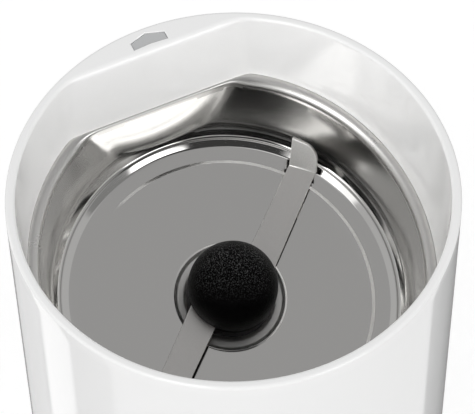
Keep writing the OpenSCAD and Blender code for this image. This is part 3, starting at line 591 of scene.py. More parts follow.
def worked(name, first, second, metallic, rough, grain, strength, depth=0.01, stretch=(1, 1, 1),
           specular=0.5, painted_glint=None):
    """A surface with two close shades, a grain and a gloss that varies with it. Painted glint is a colour put
    on the grain's peaks where the surface faces up and back towards the light, as a painted highlight."""
    material, tree = start_material(name, linear(first))
    scaled = add(tree, "ShaderNodeMapping", {"Vector": add(tree, COORD, out="Object"), "Scale": stretch})
    grit = add(tree, NOISE, {"Vector": scaled, "Scale": 1 / (grain * MM), "Detail": 3.0, "Roughness": 0.6})
    shade = add(tree, MIX, {"Factor": grit, 6: linear(first), 7: linear(second)}, 2, data_type="RGBA")
    # Painted highlight: a lighter colour on the grain's peaks where the surface faces the light
    if painted_glint:
        normal = add(tree, "ShaderNodeNewGeometry", out="Normal")
        facing = add(tree, VECTOR, {0: normal, 1: PAINTED_GLINT_FACING}, "Value", operation="DOT_PRODUCT")
        towards_light = add(tree, RANGE, {"Value": facing, "From Min": -0.2, "From Max": 0.95})
        peak = add(tree, RANGE, {"Value": grit, "From Min": 0.5, "From Max": 0.68})
        cover = add(tree, MATH, {0: towards_light, 1: peak}, operation="MULTIPLY")
        shade = add(tree, MIX, {"Factor": cover, 6: shade, 7: linear(painted_glint)}, 2, data_type="RGBA")
    coat(tree, shade, grit, rough, grit, strength, depth, Metallic=metallic,
         **{"Specular IOR Level": specular})
    return material


# What polished surfaces see round them, each painted over the last: heading of its middle from +Y towards
# +X, height over the horizon, half width and half height in degrees, and brightness
STUDIO = (
    (0, 90, 200, 24, 0.46),         # ceiling
    (180, 48, 32, 22, 0.06),        # dark front, with the camera in it
    (140, 50, 12, 22, 0.3),         # half shade beside it
    (195, 76, 30, 5, 1.3),          # strip light over the camera
    (234, 43, 18, 23, 1.6),         # large window
    (228, 43, 12, 20, 3.8),         # its bright half
    (161, 31, 11, 12, 4.0),         # low front softbox
    (204, -55, 180, 40, 0.95),      # pale table
    (287, -55, 14.5, 40, 0.5),      # dark edge of the table on the left
    (313, -55, 12, 40, 1.4),        # bright card
    (23, -55, 57, 40, 0.2),         # far side of the table, in the shade
    (345, -55, 18, 40, 0.7),        # its end on the left, half lit
)
BLUR = 2    # degrees over which the edge of each fades, to either side


# ---------- operators ----------


class GRINDER_OT_casing(Operator):
    """Builds the white casing with its D-shaped collar, arrow slot and cord hole"""

    bl_idname = "grinder.casing"
    bl_label = "Casing"

    # The rounded foot of the outer wall, and the foot of the collar's skirt: steps outwards and up in mm
    foot = ((-0.6, 0), (-0.17, 0.17), (0, 0.6), (0, 2))
    hem = ((0, 0), (0.05, -0.03), (0.4, 0))
    # Outline of the arrow in mm: half width, the dip of its front, and where front, shoulders and point lie
    arrow = (3.75, 0.3, 41.3, 43.1, 44.3)

    def execute(self, context):
        casing, bowl = context.scene.grinder_casing, context.scene.grinder_bowl
        rings = self.rings(casing, bowl, context.scene.grinder_base.foot_height)
        made = loft("casing", rings, closed=True)
        clean(made)
        cut(made, self.pocket(casing), self.arrow_slot(casing), self.hole(casing))
        smooth(made, sharp_degrees=30)
        set_materials(made, glossy_abs(casing.tint))
        stand_in(made, "housing", "base")
        return {"FINISHED"}

    def rings(self, casing, bowl, low_end):
        """Rings from the foot of the outer wall, over the rim and down the collar to the hollow below."""
        phi, rings = fine_angles(), []
        top, radius, outer = casing.rim_height, casing.radius, casing.edge_round
        seat = bowl.depth + bowl.gasket
        land, ramp, long_wall = 0.08 * MM, 1.5 * MM, 4 * MM
        above_seat, seat_width, rounds = 0.2 * MM, 0.45 * MM, 12

        def ring(r, z):
            rings.append(polar(r, phi, z))

        def collar(z, grow=0.0):
            ring(collar_outline(casing, z, phi, grow), z)

        for out, up in self.foot:
            ring(radius + out * MM, low_end + up * MM)
        ring(radius, top - long_wall)
        for t in np.radians(np.linspace(0, 90, 8)):
            ring(radius - outer + outer * math.cos(t), top - outer + outer * math.sin(t))
        # Where the flat cuts the round wall, the edge over it is rounded more
        on_flat = np.clip((radius - casing.rim_wall - collar_outline(casing, top, phi)) / ramp, 0, 1)
        inner = outer + casing.chord_round * on_flat
        ring(radius - outer - land, top)
        collar(top, inner + land)
        for t in np.radians(np.linspace(0, 90, 9)):
            collar(top - inner + inner * math.cos(t), inner * (1 - math.sin(t)))
        # Down to the gasket's plane, which leans with the bowl
        low = np.full(phi.shape, plane_height(bowl, 0, seat))
        for _ in range(rounds):
            low = plane_height(bowl, collar_outline(casing, low, phi) * np.sin(phi), seat)
        for t in (0.02, 0.2, 0.4, 0.6, 0.8, 0.98):
            collar((top - inner) * (1 - t) + (low + above_seat) * t)
        for out, up in self.hem:
            collar(low + up * MM - casing.skirt, out * MM)
        collar(low, seat_width)
        shell = radius - casing.shell_wall
        ring(shell, plane_height(bowl, shell * np.sin(phi), seat))
        ring(shell, low_end)
        return rings

    def pocket(self, casing):
        """The hollow behind the flat, in which the interlock plunger runs."""
        overlap = 0.05 * MM
        shell = casing.radius - casing.shell_wall - overlap
        levels = []
        for z in (casing.hollow, casing.rim_height - casing.roof):
            flat = casing.radius - casing.segment + casing.flat_wall
            flat -= (casing.rim_height - z) * math.tan(casing.flat_draft)
            start = math.asin(flat / shell)
            turns = np.linspace(start, math.pi - start, 40)
            levels.append(([(shell * math.cos(a), shell * math.sin(a)) for a in turns], z))
        return prism("pocket", levels)

    def arrow_slot(self, casing):
        """The slot for the arrow button, its mouth chamfered."""
        gap, top = casing.slot_gap, casing.rim_height
        chamfer, above = 0.12 * MM, 0.5 * MM
        return prism("slot", [(self.outline(gap), casing.slot_foot), (self.outline(gap), top - chamfer),
                              (self.outline(gap + chamfer + above), top + above)])

    def outline(self, grow):
        """The arrow on the flat segment, its point towards the back, grown by grow."""
        half, dip, front, shoulder, back = (x * MM for x in self.arrow)
        half, front, shoulder, back = half + grow, front - grow, shoulder + 0.8 * grow, back + grow
        right = [(half, front), (half, shoulder), (0, back)]
        return [(-half, front), (0, front + dip), *right, (-half, shoulder)]

    def hole(self, casing):
        """A cutter for the cord gland's hole, through the back of the casing."""
        starts, ends, sides = 30 * MM, 60 * MM, 63
        turns = np.linspace(0, 2 * math.pi, sides + 1)[:-1]
        ring = [(casing.cord_hole * math.cos(a), casing.cord_hole * math.sin(a)) for a in turns]
        made = prism("hole", [(ring, starts), (ring, ends)])
        backwards = Matrix.Rotation(math.radians(-90), 4, "X")
        made.data.transform(Matrix.Translation((0, 0, casing.cord_height)) @ backwards)
        return made


class GRINDER_OT_bowl(Operator):
    """Builds the drawn steel bowl, whose mouth follows the collar, and the gasket over its lip"""

    bl_idname = "grinder.bowl"
    bl_label = "Bowl and gasket"

    # The inside of the bowl up to its wall, as (radius, height, rounding) in millimetres, the radius from the
    # recess's in the first table and from the floor's in the second. The floor ends in a fine groove, then a
    # bead rises to the crease at the foot of the wall
    recess = ((-2.2, -0.32, 0.9), (-0.6, -0.28, 0.5), (0.1, 0.12, 0.25), (0.5, 0, 0.25))
    bead = ((-0.3, 0, 0.3), (0.35, -0.08, 0.3), (1.2, -0.06, 0.8), (3.6, 0.2, 1.4), (4.9, 0.85, 0.35),
            (5.3, 0.75, 0.15), (5.6, 0.8, 0))
    # The underside of the bead, as radius from the floor's and height
    underside = ((6.2, -1.0), (5.2, -1.7), (0.6, -1.7))

    def execute(self, context):
        casing, bowl = context.scene.grinder_casing, context.scene.grinder_bowl
        theta = fine_angles()
        seat = self.on_plane(casing, bowl, theta, bowl.depth)
        rings = self.rings(casing, bowl, theta, seat)
        made = loft("bowl_shell", [to_product(bowl, r) for r in rings], closed=True)
        clean(made, sharp_degrees=60)
        set_materials(made, *(drawn_steel(kind + "_drawn_stainless", bowl, rough)
                              for kind, rough in BOWL_STEELS.items()))
        inverse = bowl_matrix(bowl).inverted()
        polished, satin, buffed, brushed = range(len(BOWL_STEELS))
        floor_top, margin = 2 * MM, 0.05 * MM
        for face in made.data.polygons:
            place = inverse @ face.center
            kind = buffed if place.z < bowl.depth - bowl.lip_height else brushed
            kind = polished if place.z < floor_top else kind
            face.material_index = satin if place.xy.length < bowl.recess_radius + margin else kind
        stand_in(made, "bowl", "base")
        self.gasket(bowl, theta, seat)
        return {"FINISHED"}

    def on_plane(self, casing, bowl, theta, w, flat=True):
        """Distance from the bowl's axis to the collar's wall, in the leaning plane at w."""
        first_guess, rounds = 42 * MM, 20
        rho = np.full(theta.shape, first_guess)
        for _ in range(rounds):
            p = to_product(bowl, polar(rho, theta, w))
            phi = np.arctan2(p[:, 1], p[:, 0])
            want = collar_outline(casing, p[:, 2], phi if flat else -np.abs(phi))
            rho = rho + (want - np.hypot(p[:, 0], p[:, 1]))
        return rho

    def rings(self, casing, bowl, theta, seat):
        """Rings from the seal hole over the inside of the bowl, out to the lip, and back under the sheet."""
        deep, sheet, hole, sunk = bowl.depth, bowl.sheet, bowl.seal_hole, -bowl.recess_depth
        floor_r, recess = bowl.floor_radius, bowl.recess_radius
        rings = []

        def ring(r, w):
            rings.append(polar(r, theta, w))

        corners = [(hole, sunk, 0), (recess - 3.2 * MM, sunk, 0.5 * MM)]
        for start, rows in ((recess, self.recess), (floor_r, self.bead)):
            corners += [(start + out * MM, up * MM, turn * MM) for out, up, turn in rows]
        profile = round_path(corners)
        for r, w in profile:
            ring(r, w)
        round_mouth = self.on_plane(casing, bowl, theta, deep, flat=False) - bowl.lip
        flat_y = casing.radius - casing.segment - bowl.lip_drop * math.tan(casing.flat_draft)
        flat_v = (flat_y - bowl.floor_back + deep * math.sin(bowl.tilt)) / math.cos(bowl.tilt) - bowl.flat_lip

        def wall(w, out=0.0):
            part = (w - bowl.wall_low_height) / (deep - bowl.wall_low_height)
            cone = bowl.wall_low + (round_mouth - bowl.wall_low) * part
            facet = (flat_v - (deep - w) * math.tan(bowl.facet_draft)) / np.maximum(np.sin(theta), LEAST_SINE)
            tightness = BOWL_FOOT_CORNER + (BOWL_MOUTH_CORNER - BOWL_FOOT_CORNER) * np.clip(part, 0, 1)
            return soft_min(cone, facet, tightness) + out

        # The lip is rolled: a wide quarter turn from the wall to its crest, then a short one to the collar
        widest_roll, roll_share, drop_share, crest_share = 1.6 * MM, 0.75, 0.16, 0.36
        lip = seat - wall(deep)
        roll = np.minimum(widest_roll, roll_share * lip)
        drop = drop_share * lip
        crest = seat - crest_share * lip
        start, low = profile[-1]
        # A straight sloping band leads from the bead to the wall, with a soft corner between the two
        straight, corner_share, rounds = 0.75, 0.4, 30
        top = np.full(theta.shape, low)
        for _ in range(rounds):
            top = low + (wall(top) - start) * math.tan(bowl.band)
        turn = corner_share * (top - low)
        for t in np.linspace(0, straight, 6)[1:]:
            ring(start * (1 - t) + wall(top) * t, low * (1 - t) + top * t)
        corner = ((start * (1 - straight) + wall(top) * straight, low * (1 - straight) + top * straight),
                  (wall(top), top), (wall(top + turn), top + turn))
        for t in np.linspace(0, 1, 7)[1:-1]:
            share = ((1 - t) ** 2, 2 * t * (1 - t), t * t)
            ring(*(sum(k * point[axis] for k, point in zip(share, corner)) for axis in (0, 1)))
        for part in np.linspace(0, 1, 16):
            w = (top + turn) * (1 - part) + (deep - roll) * part
            ring(wall(w), w)
        foot = wall(deep - roll)
        for t in np.radians(np.linspace(8, 90, 11)):
            ring(crest - (crest - foot) * math.cos(t), deep - roll * (1 - math.sin(t)))
        for t in np.radians(np.linspace(78, 0, 7)):
            ring(crest + (seat + 0.1 * MM - crest) * math.cos(t), deep - drop * (1 - math.sin(t)))
        # The lip's edge lies in the casing, and the way back runs under the sheet
        into_casing, corner_width, step = 0.6 * MM, 0.5 * MM, 1 * MM
        edge, under = seat + into_casing, deep - drop - sheet
        ring(edge, deep - drop)
        ring(edge, under)
        ring(wall(under, sheet + corner_width), under)
        ring(wall(under - step, sheet), under - step)
        for part in np.linspace(0, 1, 6):
            w = (under - 2 * step) * (1 - part) + top * part
            ring(wall(w, sheet), w)
        for out, up in self.underside:
            ring(floor_r + out * MM, up * MM)
        floor_bottom, recess_bottom = -sheet, sunk - sheet
        ring(floor_r - 0.2 * MM, floor_bottom)
        ring(recess + 0.4 * MM, floor_bottom)
        ring(recess - 0.5 * MM, recess_bottom)
        ring(hole, recess_bottom)
        return rings

    def gasket(self, bowl, theta, seat):
        """The black rubber bead that shows as a thin line between the lip and the collar."""
        back_starts, back_fade, bead_starts, narrower, bead_ends = 0.80, 0.08, 0.46 * MM, 0.02 * MM, 0.9 * MM
        back = np.clip((np.sin(theta) - back_starts) / back_fade, 0, 1)
        inside, outside = seat + bead_starts + narrower * back, seat + bead_ends
        low, up = bowl.depth - 0.2 * MM, bowl.depth + 0.17 * MM
        cut_in, cut_up = 0.1 * MM, 0.15 * MM
        section = ((inside + cut_in, low), (inside, low + cut_up), (inside, up - cut_up),
                   (inside + cut_in, up), (outside, up), (outside, low))
        rings = [to_product(bowl, polar(r, theta, w)) for r, w in section]
        made = loft("rim_gasket_bead", rings, closed=True)
        clean(made, sharp_degrees=60)
        set_materials(made, finish("moulded_elastomer"))
        stand_in(made, "rim_gasket", "base")


class GRINDER_OT_rotor(Operator):
    """Builds the blade, its spacer and the domed hub cap"""

    bl_idname = "grinder.rotor"
    bl_label = "Blade and hub"

    def execute(self, context):
        bowl, rotor = context.scene.grinder_bowl, context.scene.grinder_rotor
        blade = bevelled_copy("blade", "two_armed_blade", rotor.edge, 3,
                              lambda bm: self.finish_tips(bowl, rotor, bm))
        set_materials(blade, *map(finish, ("ground_blade_steel", "blade_steel_painted_shade", "fine_ground_edge")))
        self.grind_and_paint_shade(bowl, rotor, blade)
        stand_in(blade, "blade", "rotor")
        stand_in(self.dome(bowl, rotor), "hub_cap", "rotor")
        spacer = bevelled_copy("blade_spacer", "blade_spacer_ring", rotor.spacer_edge)
        set_materials(spacer, finish("spark_eroded_phenolic"))
        stand_in(spacer, "blade_spacer", "rotor")
        return {"FINISHED"}

    def arm_matrix(self, bowl, rotor):
        """From the blade's own frame, whose X runs along the arms, to the product frame."""
        return bowl_matrix(bowl) @ Matrix.Rotation(rotor.angle, 4, "Z")

    def finish_tips(self, bowl, rotor, bm):
        """Rounds the tips' corners and folds them along a slanting line, so that they lean back a little."""
        turned = self.arm_matrix(bowl, rotor)
        inverse = turned.inverted()
        past_bend, longest_end, off_middle = rotor.bend_at + 2.2 * MM, 1.3 * MM, 1 * MM
        corners = []
        for edge in bm.edges:
            a, b = (inverse @ vertex.co for vertex in edge.verts)
            upright = abs(a.y - b.y) < TINY and edge.calc_length() < longest_end and abs(a.y) > off_middle
            if upright and min(abs(a.x), abs(b.x)) > past_bend:
                corners.append(edge)
        bmesh.ops.bevel(bm, geom=corners, offset=rotor.corner, offset_type="OFFSET", segments=4,
                        profile=0.5, affect="EDGES")
        # The band of the underside that keeps the ground steel, free of the painted shade, is a face of its
        # own
        for place in (rotor.band_start, rotor.band_end, -rotor.band_start, -rotor.band_end):
            bmesh.ops.bisect_plane(bm, geom=[*bm.verts, *bm.edges, *bm.faces], dist=TINY,
                                   plane_co=turned @ Vector((place, 0, 0)),
                                   plane_no=turned.to_3x3() @ Vector((1, 0, 0)))
        tighter = rotor.bend_radius - rotor.fold
        moved_out = tighter * math.tan(rotor.tip_angle / 2)
        sine, cosine = math.sin(rotor.tip_angle), math.cos(rotor.tip_angle)
        for vertex in bm.verts:
            own = inverse @ vertex.co
            arm = math.copysign(1, own.x)
            out, across, up = own.x * arm - rotor.bend_at, own.y * arm, rotor.top + rotor.bend_radius - own.z
            if out < -TINY:
                continue
            turn = min(math.atan2(out, up), rotor.tip_angle)
            far, along = math.hypot(out, up), 0.0
            if turn == rotor.tip_angle:
                far, along = out * sine + up * cosine, (out * cosine - up * sine) * rotor.reach
            far -= tighter
            slant = rotor.skew * (rotor.tip_edge - across) * (1 - along / (rotor.tip_length * rotor.reach))
            own.x = (rotor.bend_at + moved_out + slant + far * math.sin(turn) + along * math.cos(turn)) * arm
            own.y = (across + rotor.lean * along) * arm
            own.z = rotor.top + rotor.fold - far * math.cos(turn) + along * math.sin(turn)
            vertex.co = turned @ own

    def grind_and_paint_shade(self, bowl, rotor, blade):
        """Grinds the arms' top, one band of their underside and both faces of the tips; the rest gets painted
        shade.
        """
        axis = bowl_matrix(bowl).to_3x3() @ Vector((0, 0, 1))
        inverse = self.arm_matrix(bowl, rotor).inverted()
        arm_ends, tip_starts = rotor.bend_at - 1 * MM, rotor.bend_at + 0.8 * MM
        side, below = 0.3, -0.5
        # scale is the painted shade: near black on the arms' sides and on most of the underside
        ground_top, scale, ground_tip = range(3)
        for face in blade.data.polygons:
            out = abs((inverse @ face.center).x)
            scaled = face.normal.dot(axis) < (side if out < arm_ends else below)
            if scaled and not rotor.band_start < out < rotor.band_end:
                face.material_index = scale
            else:
                face.material_index = ground_top if out < tip_starts else ground_tip

    def dome(self, bowl, rotor):
        """A turned dome on a short straight side, made by one node tree from its radius and side."""
        tree, values, given = start_tree("turned_dome", Radius=("Float", rotor.cap_radius),
                                         Side=("Float", rotor.cap_side), Seat=("Float", rotor.cap_low))
        grid = add(tree, "GeometryNodeMeshGrid", {"Size X": 1.0, "Size Y": 1.0, "Vertices X": 129,
                                                  "Vertices Y": 64})
        split = add(tree, SEPARATE, {0: add(tree, "GeometryNodeInputPosition")}).node.outputs
        turn = add(tree, MATH, {0: split["X"], 1: 2 * math.pi}, operation="MULTIPLY")
        along = add(tree, MATH, {0: split["Y"], 1: 0.5}, operation="ADD")
        # The path runs across the underside, up the side and over the dome
        under_ends, side_ends = 0.12, 0.2
        flat = add(tree, RANGE, {0: along, 1: 0.0, 2: under_ends})
        up = add(tree, RANGE, {0: along, 1: under_ends, 2: side_ends})
        over = add(tree, RANGE, {0: along, 1: side_ends, 2: 1.0, 4: math.pi / 2})
        level, rising, x, y = (add(tree, MATH, {0: value}, operation=kind) for value, kind in (
            (over, "COSINE"), (over, "SINE"), (turn, "COSINE"), (turn, "SINE")))
        reach = add(tree, MATH, {0: flat, 1: level}, operation="MULTIPLY")
        reach = add(tree, MATH, {0: reach, 1: given["Radius"]}, operation="MULTIPLY")
        side = add(tree, MATH, {0: up, 1: given["Side"], 2: given["Seat"]}, operation="MULTIPLY_ADD")
        height = add(tree, MATH, {0: rising, 1: given["Radius"], 2: side}, operation="MULTIPLY_ADD")
        x, y = (add(tree, MATH, {0: value, 1: reach}, operation="MULTIPLY") for value in (x, y))
        point = add(tree, "ShaderNodeCombineXYZ", {"X": x, "Y": y, "Z": height})
        moved = add(tree, "GeometryNodeSetPosition", {"Geometry": grid, "Position": point})
        merged = add(tree, "GeometryNodeMergeByDistance", {"Geometry": moved, "Distance": MERGE})
        made = grown("domed_hub_cap", tree, values, merged, finish("spark_eroded_phenolic"))
        made.data.transform(bowl_matrix(bowl))
        clean(made, sharp_degrees=50)
        return made


class GRINDER_OT_interlock(Operator):
    """Builds the arrow button with its plunger, and the return spring under it"""

    bl_idname = "grinder.interlock"
    bl_label = "Arrow button"

    def execute(self, context):
        interlock = context.scene.grinder_interlock
        made = bevelled_copy("interlock_plunger", "arrow_button", interlock.edge)
        # The arrow button's pale grey is painted shade of its slot
        set_materials(made, finish("satin_abs_painted_shade"))
        stand_in(made, "interlock_plunger", "interlock")
        self.spring(interlock)
        return {"FINISHED"}

    def spring(self, spring):
        """The return spring under the plunger, at its rest length; the script does not shorten it as the
        arrow is pressed.
        """
        tree, values, given = start_tree(
            "coiled_spring", Turns=("Float", spring.turns), Radius=("Float", spring.radius),
            Wire=("Float", spring.wire / 2), Length=("Float", spring.length))
        coil = add(tree, "GeometryNodeCurveSpiral", {
            "Resolution": 24, "Rotations": given["Turns"], "Start Radius": given["Radius"],
            "End Radius": given["Radius"], "Height": given["Length"]})
        section = add(tree, "GeometryNodeCurvePrimitiveCircle", {"Resolution": 10, "Radius": given["Wire"]})
        wire = add(tree, "GeometryNodeCurveToMesh", {"Curve": coil, "Profile Curve": section,
                                                     "Fill Caps": True})
        made = grown("coiled_return_spring", tree, values, wire, finish("drawn_spring_steel"))
        low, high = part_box("plunger_spring")
        middle = (low + high) / 2
        made.data.transform(Matrix.Translation((middle.x, middle.y, low.z + spring.wire / 2)))
        clean(made, sharp_degrees=40)
        stand_in(made, "plunger_spring", "base")
        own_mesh(made)


class GRINDER_OT_base(Operator):
    """Builds the vented base cover, its feet and screws, the cord gland and the shaft seal"""

    bl_idname = "grinder.base"
    bl_label = "Base"

    def execute(self, context):
        base = context.scene.grinder_base
        for node, name, edge, material, slot in (
                ("base_cover", "vented_base_cover", 0.3, "textured_abs", "dark_plastic"),
                ("cord_gland", "flanged_cord_gland", 0.35, "moulded_elastomer", "rubber"),
                ("shaft_seal", "lipped_shaft_seal", 0.2, "moulded_elastomer", "rubber")):
            made = bevelled_copy(node, name, edge * MM)
            set_materials(made, finish(material))
            stand_in(made, node, "base")
        # Directions of the first foot and the first screw, in degrees from +X
        first_foot, first_screw = 45, -90
        feet = self.spread("snap_in_feet", self.foot(base), base.feet, base.foot_at, first_foot,
                           "moulded_elastomer")
        stand_in(feet, "rubber_feet", "base")
        screws = self.spread("cross_head_screws", self.screw(base), base.screws, base.screw_at, first_screw,
                             "zinc_plated_steel")
        stand_in(screws, "base_screws", "base")
        return {"FINISHED"}

    def foot(self, base):
        """A rubber foot with a ringed sole and a stem whose bulb has snapped through the cover."""
        r, tall, stem = base.foot_radius / MM, base.foot_height / MM, base.foot_stem / MM
        top, gap = tall + base.cover / MM, 0.01
        sole = [(0, 0.7, 0), (1.9, 0.7, 0.2), (2.3, 0.0, 0.2), (3.1, 0.0, 0.2), (3.3, 0.3, 0.1),
                (3.6, 0.3, 0.1), (3.8, 0.0, 0.2), (r - 0.6, 0.0, 0.5)]
        bulb = [(2.9, top + 0.1, 0.3), (2.0, top + 1.8, 0.5), (0, top + 1.8, 0)]
        return lathe("foot", [*sole, (r, tall - 0.4, 0.2), (r - 0.2, tall - gap, 0), (stem, tall - gap, 0),
                              (stem, top, 0), *bulb])

    def screw(self, base):
        """A pan-head screw with a cross recess and a rolled thread."""
        low, head, shank = base.foot_height / MM + 0.1, base.screw_head / MM, base.screw_radius / MM
        shoulder, thread_starts, end = low + 1.5, low + 2.2, low + 11.8
        root, crest, threads = shank - 0.3, shank - 0.02, 9
        path = [(0, low, 0), (head - 0.9, low + 0.02, 0.8), (head, low + 0.5, 0.4), (head, shoulder, 0.1),
                (shank - 0.25, shoulder, 0)]
        for turn in range(threads):
            z = thread_starts + turn
            path += [(root, z, 0), (crest, z + 0.4, 0), (root, z + 0.8, 0)]
        made = lathe("screw", path + [(0, end, 0)])
        half_length, half_width = 1.5 * MM, 0.28 * MM
        for turn in (0, 90):
            levels = []
            for along, across, z in ((1, 1, low - 0.1), (0.35, 0.5, low + 1.2)):
                x, y = half_length * along, half_width * across
                levels.append(([(-x, -y), (x, -y), (x, y), (-x, y)], z * MM))
            cross = prism("cross", levels)
            cross.data.transform(Matrix.Rotation(math.radians(turn), 4, "Z"))
            cut(made, cross)
        return made

    def spread(self, name, part, count, distance, start_degrees, material):
        """Repeats a part evenly round the axis, each copy turned outwards, by one node tree."""
        tree, values, given = start_tree(
            name, Part=("Object", part), Count=("Int", count), Distance=("Float", distance),
            Start=("Float", math.radians(start_degrees)))
        points = add(tree, "GeometryNodePoints", {"Count": given["Count"]})
        step = add(tree, MATH, {0: 2 * math.pi, 1: given["Count"]}, operation="DIVIDE")
        turn = add(tree, MATH, {0: add(tree, "GeometryNodeInputIndex"), 1: step, 2: given["Start"]},
                   operation="MULTIPLY_ADD")
        spin = add(tree, "ShaderNodeCombineXYZ", {"Z": turn})
        out = add(tree, "ShaderNodeCombineXYZ", {"X": given["Distance"]})
        place = add(tree, "ShaderNodeVectorRotate", {"Vector": out, "Angle": turn}, rotation_type="Z_AXIS")
        moved = add(tree, "GeometryNodeSetPosition", {"Geometry": points, "Position": place})
        shape = add(tree, "GeometryNodeObjectInfo", {"Object": given["Part"]}, "Geometry")
        copies = add(tree, "GeometryNodeInstanceOnPoints", {"Points": moved, "Instance": shape,
                                                            "Rotation": spin})
        made = grown(name, tree, values, copies, finish(material))
        # Only the copies stay
        bpy.data.objects.remove(part)
        clean(made)
        return made


class GRINDER_OT_carried_nodes(Operator):
    """Gives every carried-over CAD node its finish"""

    bl_idname = "grinder.carried_nodes"
    bl_label = "Carried-over nodes"

    def execute(self, context):
        for material, nodes in NODE_FINISH.items():
            for node in nodes:
                set_materials(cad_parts[node], finish(material))
        return {"FINISHED"}


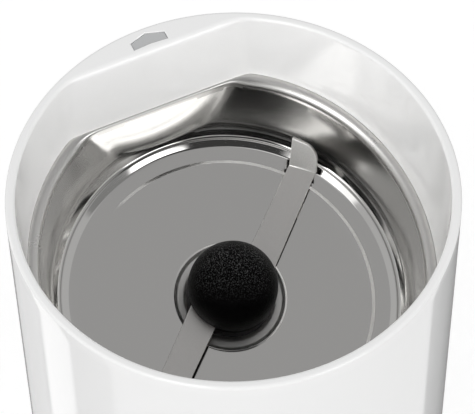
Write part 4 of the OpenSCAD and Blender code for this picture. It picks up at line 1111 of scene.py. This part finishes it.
class GRINDER_OT_stage(Operator):
    """Sets up the floor, the soft light and the camera"""

    bl_idname = "grinder.stage"
    bl_label = "Stage"

    def execute(self, context):
        stage = context.scene.grinder_stage
        self.floor(stage)
        self.world(context.scene, stage)
        self.camera(context.scene, stage)
        context.scene.view_settings.view_transform = "Standard"
        return {"FINISHED"}

    def floor(self, stage):
        """A pale floor. The camera sees it lifted to white except in the shadow; reflections pass to the
        studio."""
        half = 6
        corners = [(-half, -half, 0), (half, -half, 0), (half, half, 0), (-half, half, 0)]
        made = mesh_object("floor", corners, [(0, 1, 2, 3)])
        material, tree = start_material("pale_sweep", (0.9, 0.9, 0.9, 1))
        rays = add(tree, "ShaderNodeLightPath").node.outputs
        diffuse = add(tree, "ShaderNodeBsdfDiffuse", {"Color": (*stage.floor, 1)})
        lift = add(tree, MATH, {0: rays["Is Camera Ray"], 1: stage.lift}, operation="MULTIPLY")
        glow = add(tree, "ShaderNodeEmission", {"Color": (1, 1, 1, 1), "Strength": lift})
        both = add(tree, "ShaderNodeAddShader", {0: diffuse, 1: glow})
        clear = add(tree, "ShaderNodeBsdfTransparent", {"Color": (1, 1, 1, 1)})
        seen = add(tree, "ShaderNodeMixShader", {0: rays["Is Glossy Ray"], 1: both, 2: clear})
        add(tree, "ShaderNodeOutputMaterial", {"Surface": seen})
        set_materials(made, material)

    def world(self, scene, stage):
        """Soft even light for matt surfaces, and windows, dark flags and a dim ceiling for polished ones."""
        world = bpy.data.worlds.new("studio")
        world.use_nodes = True
        world.cycles.sampling_method = "NONE"
        scene.world = world
        tree = world.node_tree
        tree.nodes.clear()
        aim = add(tree, COORD, out="Generated")
        studio = stage.around
        for *window, strength in STUDIO:
            studio = add(tree, MIX, {0: self.patch(tree, aim, *window), 2: studio, 3: strength})
        side = add(tree, VECTOR, {0: aim, 1: stage.slope}, "Value", operation="DOT_PRODUCT")
        soft = add(tree, MATH, {0: side, 1: stage.soft}, operation="ADD")
        rays = add(tree, "ShaderNodeLightPath").node.outputs
        direct = add(tree, MATH, {0: rays["Diffuse Depth"], 1: 0.5}, operation="LESS_THAN")
        polished = add(tree, MATH, {0: rays["Is Glossy Ray"], 1: direct}, operation="MULTIPLY")
        # Light that reaches a matt wall by way of polished steel is gathered by the bowl
        second = add(tree, MATH, {0: rays["Is Glossy Ray"], 1: stage.gather}, operation="MULTIPLY")
        gathered = add(tree, MATH, {0: soft, 1: second, 2: soft}, operation="MULTIPLY_ADD")
        level = add(tree, MIX, {0: polished, 2: gathered, 3: studio})
        level = add(tree, MIX, {0: rays["Is Camera Ray"], 2: level, 3: 1.0})
        sky = add(tree, "ShaderNodeBackground", {"Color": (1, 1, 1, 1), "Strength": level})
        add(tree, "ShaderNodeOutputWorld", {"Surface": sky})

    def patch(self, tree, aim, heading, height, wide, tall):
        """1 inside a window of the studio and 0 outside, from the heading and height of its middle and its
        half width and half height."""
        turn = math.radians(heading)
        side, ahead = (add(tree, VECTOR, {0: aim, 1: axis}, "Value", operation="DOT_PRODUCT") for axis in (
            (math.cos(turn), -math.sin(turn), 0), (math.sin(turn), math.cos(turn), 0)))
        across = add(tree, MATH, {0: side, 1: ahead}, operation="ARCTAN2")
        rise = add(tree, MATH, {0: add(tree, SEPARATE, {0: aim}, "Z")}, operation="ARCSINE")
        rise = add(tree, MATH, {0: rise, 1: math.radians(height)}, operation="SUBTRACT")
        masks = []
        for value, reach in ((across, wide), (rise, tall)):
            away = add(tree, MATH, {0: value}, operation="ABSOLUTE")
            masks.append(add(tree, RANGE, {
                "Value": away, "From Min": math.radians(reach - BLUR), "From Max": math.radians(reach + BLUR),
                "To Min": 1.0, "To Max": 0.0}, interpolation_type="SMOOTHSTEP"))
        return add(tree, MATH, {0: masks[0], 1: masks[1]}, operation="MULTIPLY")

    def camera(self, scene, stage):
        """The camera, from its place, heading, pitch and roll."""
        made = new_object("camera", bpy.data.cameras.new("camera"))
        made.data.lens, made.data.sensor_width = stage.lens, 36.0
        ahead = Vector((0, math.cos(stage.pitch), -math.sin(stage.pitch)))
        side = Vector((1, 0, 0))
        down = ahead.cross(side)
        right = side * math.cos(stage.roll) + down * math.sin(stage.roll)
        up = side * math.sin(stage.roll) - down * math.cos(stage.roll)
        axes = Matrix((right, up, -ahead)).transposed().to_4x4()
        turned = Matrix.Rotation(-stage.heading, 4, "Z") @ axes
        made.matrix_world = Matrix.Translation(stage.camera_at) @ turned
        scene.camera = made


class GRINDER_PT_panel(Panel):
    """Lists the settings and the pieces"""

    bl_idname = "GRINDER_PT_panel"
    bl_label = "Spice Grinder"
    bl_space_type = "VIEW_3D"
    bl_region_type = "UI"
    bl_category = "Grinder"

    def draw(self, context):
        for operator in OPERATORS:
            self.layout.operator(operator.bl_idname)
        for name, group in SETTINGS.items():
            box = self.layout.box()
            box.label(text=name.replace("grinder_", "").capitalize())
            for key in group.__annotations__:
                box.prop(getattr(context.scene, name), key)


SETTINGS = {"grinder_casing": GRINDER_PG_casing, "grinder_bowl": GRINDER_PG_bowl,
            "grinder_rotor": GRINDER_PG_rotor, "grinder_interlock": GRINDER_PG_interlock,
            "grinder_base": GRINDER_PG_base, "grinder_stage": GRINDER_PG_stage}
# In the order in which they run
OPERATORS = (GRINDER_OT_casing, GRINDER_OT_bowl, GRINDER_OT_rotor, GRINDER_OT_interlock, GRINDER_OT_base,
             GRINDER_OT_carried_nodes, GRINDER_OT_stage)
CLASSES = (*SETTINGS.values(), *OPERATORS, GRINDER_PT_panel)


def register():
    for item in CLASSES:
        bpy.utils.register_class(item)
    for name, group in SETTINGS.items():
        setattr(bpy.types.Scene, name, PointerProperty(type=group))


def unregister():
    for name in SETTINGS:
        delattr(bpy.types.Scene, name)
    for item in reversed(CLASSES):
        bpy.utils.unregister_class(item)


def main():
    """Registers the add-on and builds every piece."""
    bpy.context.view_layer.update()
    register()
    for operator in ("casing", "bowl", "rotor", "interlock", "base", "carried_nodes", "stage"):
        getattr(bpy.ops.grinder, operator)()


if __name__ == "__main__":
    main()
